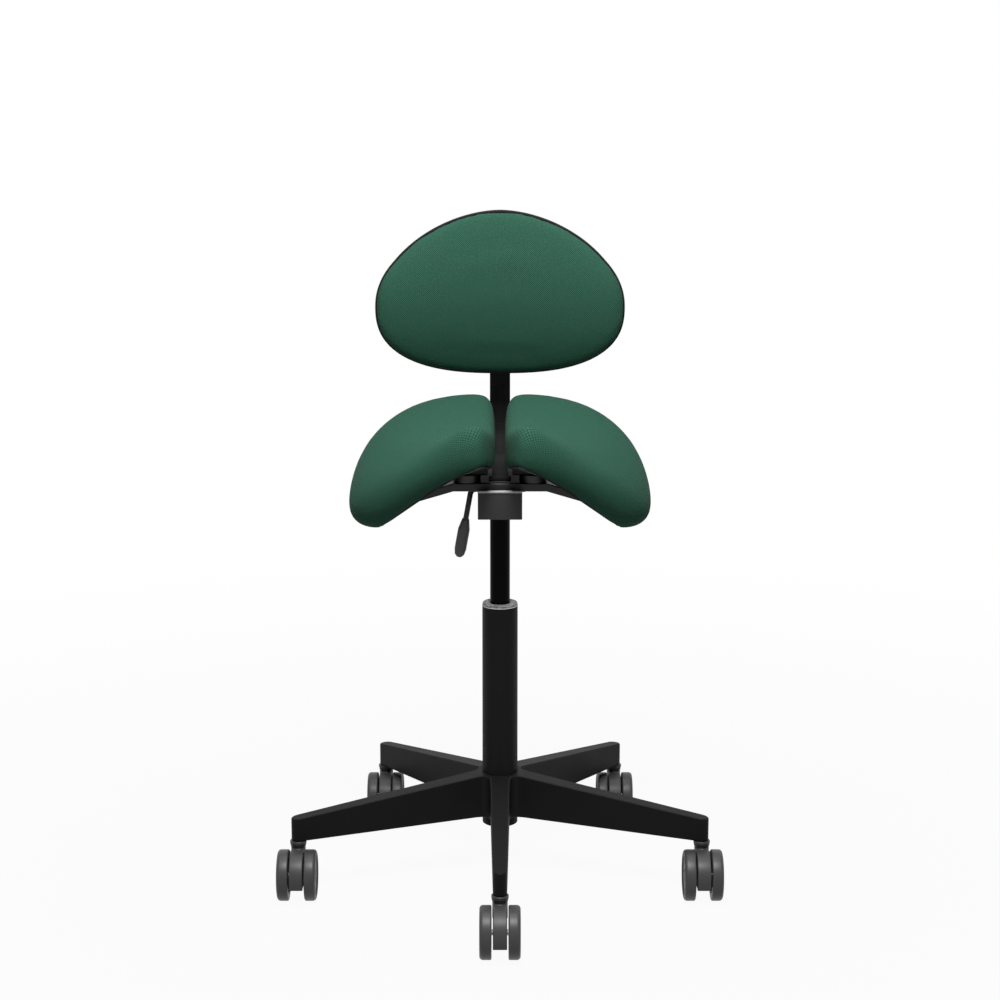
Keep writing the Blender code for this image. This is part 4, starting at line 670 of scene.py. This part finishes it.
def back_form(node, tree):
    """The crowned backrest pad, with its front falling back above and below.

    It is made from the shell's outline, and swells over the shell's lip.
    """
    base = EGG_SHELL_THICKNESS + PAD_SEAT
    inset = EGG_LIP_WIDTH + PAD_SEAT
    rings = [(share, inset, base) for share in (*EGG_FLAT_SHARES, 1.0)]
    rings += [(1.0, inset, EGG_SHELL_THICKNESS + EGG_LIP_HEIGHT)]
    rings += [(share, inset - BACK_SWELL, base + BACK_CROWN * rise) for share, rise in BACK_CROWN_SHARES]
    work = egg_form(rings)
    low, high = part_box("backrest_shell")
    middle = (low.z + high.z) / 2
    half = (high.z - low.z) / 2
    for vert in work.verts:
        share = (vert.co.z - middle) / half
        seat = high.y - base - (vert.co.x - (low.x + high.x) / 2) ** 2 / (2 * EGG_BEND)
        forward = seat - vert.co.y
        if forward > EGG_LIP_HEIGHT:
            vert.co.y = seat - EGG_LIP_HEIGHT - (forward - EGG_LIP_HEIGHT) * (1 - BACK_CURVE * share * share)
    return work


def foam_pad(name, node, shell, body, form):
    """A cloth-covered foam pad in the place of its plain solid."""
    tree = surface_tree(shell)
    work = form(node, tree)
    made = place_piece(name, work, CLOTH, body)
    remesh = made.modifiers.new("remesh", "REMESH")
    remesh.mode = "VOXEL"
    remesh.voxel_size = PAD_VOXEL
    remesh.use_smooth_shade = True
    apply_steps(made)
    puff(made, tree)
    ease = made.modifiers.new("ease", "SMOOTH")
    ease.factor = PAD_EASE_SHARE
    ease.iterations = PAD_EASE
    apply_steps(made)
    lay_out_cloth(made, tree)
    finer = made.modifiers.new("finer", "SUBSURF")
    finer.levels = finer.render_levels = 1
    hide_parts(node)


def refined(name):
    """Stands for a CAD node with the same shape, its rounds shaded smooth and its edges softened."""
    work = bmesh.new()
    work.from_mesh(nodes[name].data)
    bmesh.ops.remove_doubles(work, verts=work.verts, dist=WELD)
    bmesh.ops.dissolve_limit(work, angle_limit=FLAT_ANGLE, verts=work.verts, edges=work.edges)
    mark_corners(work)
    made = place_piece(name + "_finish", work, finish_of(name), body_of(name))
    soften = made.modifiers.new("soften", "BEVEL")
    soften.width = EDGE_WIDTH
    soften.segments = 2
    soften.limit_method = "ANGLE"
    soften.angle_limit = CORNER_ANGLE
    soften.harden_normals = True
    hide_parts(name)
    return made


def body_of(name):
    for body, held in frame["record"]["behaviour"]["bodies"].items():
        if name in held:
            return body


def outwards_of(wheel):
    """The way that a wheel's outer face looks."""
    return Vector((-1, 0, 0)) if "_left_wheel" in wheel else Vector((1, 0, 0))


def castor_wheel(name):
    """A round tyreless wheel with a recessed inner face and a dished outer one."""
    low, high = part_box(name)
    radius = (high.z - low.z) / 2
    width = high.x - low.x
    outwards = outwards_of(name)
    inner = (low + high) / 2 - outwards * width / 2
    profile = [(radius * share, WHEEL_RECESS * recess) for share, recess in WHEEL_INNER_SHARES]
    profile += rounded_turn(radius, 0, WHEEL_INNER_CORNER, -1)
    profile += reversed(rounded_turn(radius, width, WHEEL_OUTER_CORNER, 1))
    for share, dish, groove in WHEEL_OUTER_SHARES:
        profile.append((radius * share, width - WHEEL_DISH * dish - WHEEL_GROOVE * groove))
    work = bmesh.new()
    turned(work, profile, WHEEL_STEPS)
    mark_corners(work)
    set_down(work, inner, outwards)
    made = place_piece(name + "_finish", work, WHEEL, name)
    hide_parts(name)


def castor_hood(name):
    """The castor's housing: a round hood cut flat below, with the neck and collar that turn on the stem."""
    low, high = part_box(name)
    wheel_low, wheel_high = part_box(name.replace("_housing", "_left_wheel"))
    axle = (wheel_low + wheel_high) / 2
    axle.x = (low.x + high.x) / 2
    hood = bmesh.new()
    profile = [(0, 0)]
    profile += rounded_turn(HOOD_RADIUS, 0, HOOD_EDGE, -1)
    profile += reversed(rounded_turn(HOOD_RADIUS, HOOD_WIDTH, HOOD_EDGE, 1))
    profile += [(0, HOOD_WIDTH)]
    turned(hood, profile, WHEEL_STEPS)
    set_down(hood, axle - Vector((HOOD_WIDTH / 2, 0, 0)), Vector((1, 0, 0)))
    geom = hood.verts[:] + hood.edges[:] + hood.faces[:]
    foot = (0, 0, low.z + HOOD_CUT)
    cut = bmesh.ops.bisect_plane(hood, geom=geom, plane_co=foot, plane_no=-UP, clear_outer=True)
    edges = [part for part in cut["geom_cut"] if isinstance(part, bmesh.types.BMEdge)]
    bmesh.ops.contextual_create(hood, geom=edges)
    mark_corners(hood)
    made = place_piece(name + "_finish", hood, CASTOR, body_of(name))
    neck = bmesh.new()
    stem_low, stem_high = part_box(name.replace("_housing", "_stem"))
    middle = (stem_low + stem_high) / 2
    collar = high.x - axle.x
    drop = high.z - axle.z
    groove = -COLLAR_HEIGHT - COLLAR_GROOVE
    profile = [
        (0, 0),
        (collar - COLLAR_EDGE, 0),
        (collar, -COLLAR_EDGE),
        (collar, COLLAR_EDGE - COLLAR_HEIGHT),
        (collar - COLLAR_EDGE, -COLLAR_HEIGHT),
        (NECK_RADIUS, -COLLAR_HEIGHT),
        (NECK_RADIUS, groove),
        (collar - COLLAR_EDGE, groove),
        (NECK_RADIUS, groove - COLLAR_EDGE * 3),
        (NECK_RADIUS, -drop + NECK_RADIUS),
        (0, -drop),
    ]
    turned(neck, profile, NECK_STEPS)
    mark_corners(neck)
    set_down(neck, Vector((middle.x, middle.y, high.z)), UP)
    shank = place_piece(name + "_neck", neck, CASTOR, body_of(name))
    union = made.modifiers.new("union", "BOOLEAN")
    union.operation = "UNION"
    union.solver = "EXACT"
    union.object = shank
    apply_steps(made)
    mesh = shank.data
    bpy.data.objects.remove(shank)
    bpy.data.meshes.remove(mesh)
    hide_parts(name)


def column_piece(name, profile):
    """A round piece on the column's axis."""
    work = bmesh.new()
    turned(work, profile, COLUMN_STEPS)
    mark_corners(work)
    set_down(work, Vector((COLUMN.x, COLUMN.y, 0)), UP)
    made = place_piece(name + "_finish", work, finish_of(name), body_of(name))
    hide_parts(name)


def ring_profile(inner, outer, bottom, top, edge):
    """The section of a ring with its four corners broken."""
    return [
        (inner, bottom + edge),
        (inner, top - edge),
        (inner + edge, top),
        (outer - edge, top),
        (outer, top - edge),
        (outer, bottom + edge),
        (outer - edge, bottom),
        (inner + edge, bottom),
        (inner, bottom + edge),
    ]


def column():
    """The column's outer tube, the piston tube in it and the collar between them."""
    low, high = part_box("column_tube")
    column_piece("column_tube", ring_profile(TUBE_BORE, high.x, low.z, high.z, COLUMN_EDGE))
    low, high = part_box("piston_tube")
    column_piece("piston_tube", [
        (PISTON_BORE, low.z),
        (PISTON_BORE, high.z - PISTON_SHOULDER),
        (0, high.z - PISTON_SHOULDER),
        (0, high.z),
        (PISTON_TOP_RADIUS, high.z),
        (high.x, PISTON_TAPER_FOOT),
        (high.x, low.z + COLUMN_EDGE),
        (high.x - COLUMN_EDGE, low.z),
        (PISTON_BORE, low.z),
    ])
    low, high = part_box("guide_bush")
    tube_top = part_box("column_tube")[1].z
    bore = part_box("piston_tube")[1].x + BUSH_PLAY
    column_piece("guide_bush", ring_profile(bore, high.x, tube_top + BUSH_LIFT, high.z, COLUMN_EDGE))


# The plain solids and what stands for them
ROUND_WHEELS = [name for name in nodes if name.endswith("_wheel")]
HOODS = [name for name in nodes if name.endswith("_housing")]
REFINED = [
    "star_base",
    "mechanism_box",
    "socket_plate",
    "carrier_plate",
    "bar_guide",
    "backrest_bar",
    "seat_spacer_front_left",
    "seat_spacer_front_right",
    "seat_spacer_rear_left",
    "seat_spacer_rear_right",
    "depth_knob",
    "height_knob",
    "height_carrier",
    "tilt_bracket",
    "lever_rod",
    "lever_grip",
]

for name in ROUND_WHEELS:
    castor_wheel(name)
for name in HOODS:
    castor_hood(name)
column()
for name in REFINED:
    refined(name)

tucked_shell("seat_shell_left", "seat_pad_left")
tucked_shell("seat_shell_right", "seat_pad_right")
backrest_shell()
foam_pad("seat_cover_left", "seat_pad_left", "seat_shell_left", "seat", seat_form)
foam_pad("seat_cover_right", "seat_pad_right", "seat_shell_right", "seat", seat_form)
foam_pad("backrest_cover", "backrest_pad", "backrest_shell", "backrest", back_form)


def button(work, shares, radius, height, steps):
    """A low round head that sits a little way in the surface under it."""
    profile = [(radius * share, height * rise) for share, rise in shares]
    turned(work, profile + [(radius, -SCREW_SEAT), (0, -SCREW_SEAT)], steps)


def screw(name, place, facing, body):
    """A button-head screw with a six-sided socket."""
    work = bmesh.new()
    button(work, SCREW_SHARES, SCREW_RADIUS, SCREW_HEIGHT, SCREW_STEPS)
    for vert in work.verts:
        across = Vector((vert.co.x, vert.co.y))
        if 0 < across.length < SCREW_RADIUS * SCREW_KEY_SHARE + WELD:
            turn = Vector((1, 0)).angle_signed(across) % (pi / 3)
            share = cos(pi / 6) / cos(turn - pi / 6)
            vert.co.x *= share
            vert.co.y *= share
    set_down(work, place, facing)
    place_piece(name, work, STEEL, body)


def found(node, start, way):
    """Where a straight line from a point first meets a node."""
    return surface_tree(node).ray_cast(start, way)[0]


def seat_screws():
    """A screw below each spacer, up through the carrier plate."""
    for end in ("front", "rear"):
        for side in ("left", "right"):
            low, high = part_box(f"seat_spacer_{end}_{side}")
            middle = (low + high) / 2
            spot = found("carrier_plate", Vector((middle.x, middle.y, 0)), UP)
            screw(f"seat_screw_{end}_{side}", spot, -UP, "seat")


def bracket_screws():
    """A screw in each corner of the tilt bracket, into the backrest's shell."""
    low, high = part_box("tilt_bracket")
    for row, z in (("lower", low.z + BRACKET_SCREW_INSET), ("upper", high.z - BRACKET_SCREW_INSET)):
        for side, x in (("left", low.x + BRACKET_SCREW_INSET), ("right", high.x - BRACKET_SCREW_INSET)):
            spot = found("tilt_bracket", Vector((x, high.y + 1, z)), Vector((0, -1, 0)))
            screw(f"bracket_screw_{row}_{side}", spot, Vector((0, 1, 0)), "backrest")


def wheel_caps():
    """A shallow domed cap over the axle's end on the outer face of each wheel."""
    for name in ROUND_WHEELS:
        outwards = outwards_of(name)
        middle = sum(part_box(name), Vector()) / 2
        spot = found(name, middle + outwards, -outwards)
        work = bmesh.new()
        button(work, CAP_SHARES, CAP_RADIUS, CAP_HEIGHT, CAP_STEPS)
        set_down(work, spot, outwards)
        place_piece(name + "_cap", work, CASTOR, name)


def tube_rim():
    """The turned-in edge round the top of the column tube, pale grey as a painted highlight."""
    low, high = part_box("column_tube")
    outer = (high.x - low.x) / 2
    work = bmesh.new()
    profile = [(outer - RIM_WIDTH * share, RIM_HEIGHT * rise) for share, rise in RIM_SHARES]
    profile += [(outer + RIM_PROUD, 0), (outer + RIM_PROUD, -RIM_HEIGHT), profile[0]]
    turned(work, profile, RIM_STEPS)
    set_down(work, Vector((COLUMN.x, COLUMN.y, high.z)), UP)
    place_piece("column_tube_rim", work, PAINTED_HIGHLIGHT_TRIM, "base")


def box_flange():
    """The flange standing up along the front of the mechanism box, with its rolled edge pale grey as a painted
    highlight.
    """
    low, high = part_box("mechanism_box")
    width = high.x - low.x
    foot = high.z - FLANGE_SUNK
    top = high.z + FLANGE_RISE
    strip("mechanism_box_flange", GREY, (width, FLANGE_THICKNESS, top - LIP_HEIGHT / 2 - foot), low.y, foot)
    strip("mechanism_box_lip", PAINTED_HIGHLIGHT_TRIM, (width, LIP_DEPTH, LIP_HEIGHT), low.y - LIP_PROUD, top - LIP_HEIGHT)


def strip(name, finish, size, front, foot):
    """A straight strip across the seat's mechanism, with rounded edges."""
    work = bmesh.new()
    bmesh.ops.create_cube(work, size=1.0)
    bmesh.ops.scale(work, vec=size, verts=work.verts)
    width = min(size) * STRIP_ROUND_SHARE
    bmesh.ops.bevel(work, geom=work.edges, offset=width, segments=3, profile=0.5, affect="EDGES", material=-1)
    bmesh.ops.translate(work, vec=(COLUMN.x, front + size[1] / 2, foot + size[2] / 2), verts=work.verts)
    place_piece(name, work, finish, "seat")


seat_screws()
bracket_screws()
wheel_caps()
tube_rim()
box_flange()

# Camera, floor, lamps and background


def photo_camera():
    """The camera at the photograph's viewpoint, with nothing out of focus."""
    camera = bpy.data.objects.new("photo_camera", bpy.data.cameras.new("photo_camera"))
    camera.data.lens = CAMERA_LENS
    camera.data.sensor_width = SENSOR_WIDTH
    camera.data.clip_end = 100
    camera.location = (COLUMN.x, COLUMN.y - CAMERA_DISTANCE, CAMERA_HEIGHT)
    camera.rotation_euler = (pi / 2 - CAMERA_PITCH, 0, 0)
    bpy.context.scene.collection.objects.link(camera)
    bpy.context.scene.camera = camera


def seen_or_mirrored(holder):
    """1 where the camera sees a surface, by itself or in gloss or through glass."""
    path = add(holder, "ShaderNodeLightPath")
    total = path.outputs["Is Camera Ray"]
    for ray in ("Is Glossy Ray", "Is Transmission Ray"):
        either = add(holder, "ShaderNodeMath", operation="MAXIMUM")
        join(holder, total, either.inputs[0])
        join(holder, path.outputs[ray], either.inputs[1])
        total = either.outputs[0]
    return total


def whitened(holder, share, plain, white, output):
    """Mixes a plain shader with a white one, and shows the mix."""
    mix = add(holder, "ShaderNodeMixShader")
    join(holder, share, mix.inputs["Fac"])
    join(holder, plain.outputs[0], mix.inputs[1])
    join(holder, white.outputs[0], mix.inputs[2])
    join(holder, mix.outputs[0], holder.node_tree.nodes[output].inputs["Surface"])


def pale_floor():
    """White where it is seen, with the object's shadow still on it."""
    finish, shader = bare_finish("pale_floor", (FLOOR_TONE,) * 3, 0.9, specular=0.0)
    white = add(finish, "ShaderNodeEmission", Color=WHITE, Strength=1.0)
    spot = add(finish, "ShaderNodeTexCoord")
    reach = add(finish, "ShaderNodeVectorMath", operation="LENGTH")
    join(finish, spot.outputs["Object"], reach.inputs[0])
    fading = add(finish, "ShaderNodeMapRange", **{
        "From Min": FLOOR_FADE_START,
        "From Max": FLOOR_FADE_END,
        "To Min": FLOOR_WHITE_SHARE,
        "To Max": 1.0,
    })
    join(finish, reach.outputs["Value"], fading.inputs["Value"])
    seen = add(finish, "ShaderNodeMath", operation="MULTIPLY")
    join(finish, seen_or_mirrored(finish), seen.inputs[0])
    join(finish, fading.outputs["Result"], seen.inputs[1])
    whitened(finish, seen.outputs[0], shader, white, "Material Output")
    return finish


def floor():
    work = bmesh.new()
    bmesh.ops.create_grid(work, x_segments=1, y_segments=1, size=FLOOR_REACH)
    mesh = bpy.data.meshes.new("floor")
    work.to_mesh(mesh)
    work.free()
    made = bpy.data.objects.new("floor", mesh)
    bpy.context.scene.collection.objects.link(made)
    mesh.materials.append(pale_floor())


def lamp(name, place, size, energy):
    """A flat lamp at a place from the column's foot, which it faces."""
    light = bpy.data.lights.new(name, "AREA")
    light.shape = "RECTANGLE"
    light.size, light.size_y = size
    light.energy = energy
    made = bpy.data.objects.new(name, light)
    made.location = COLUMN + Vector(place)
    made.rotation_euler = (-Vector(place)).to_track_quat("-Z", "Y").to_euler()
    bpy.context.scene.collection.objects.link(made)


def background():
    """White where it is seen, and a faint even light on the object."""
    world = bpy.data.worlds.new("studio")
    world.use_nodes = True
    bpy.context.scene.world = world
    plain = world.node_tree.nodes["Background"]
    plain.inputs["Color"].default_value = WHITE
    plain.inputs["Strength"].default_value = WORLD_STRENGTH
    white = add(world, "ShaderNodeBackground", Color=WHITE, Strength=1.0)
    whitened(world, seen_or_mirrored(world), plain, white, "World Output")


photo_camera()
floor()
for row in LAMPS:
    lamp(*row)
background()
bpy.context.scene.view_settings.view_transform = "Standard"
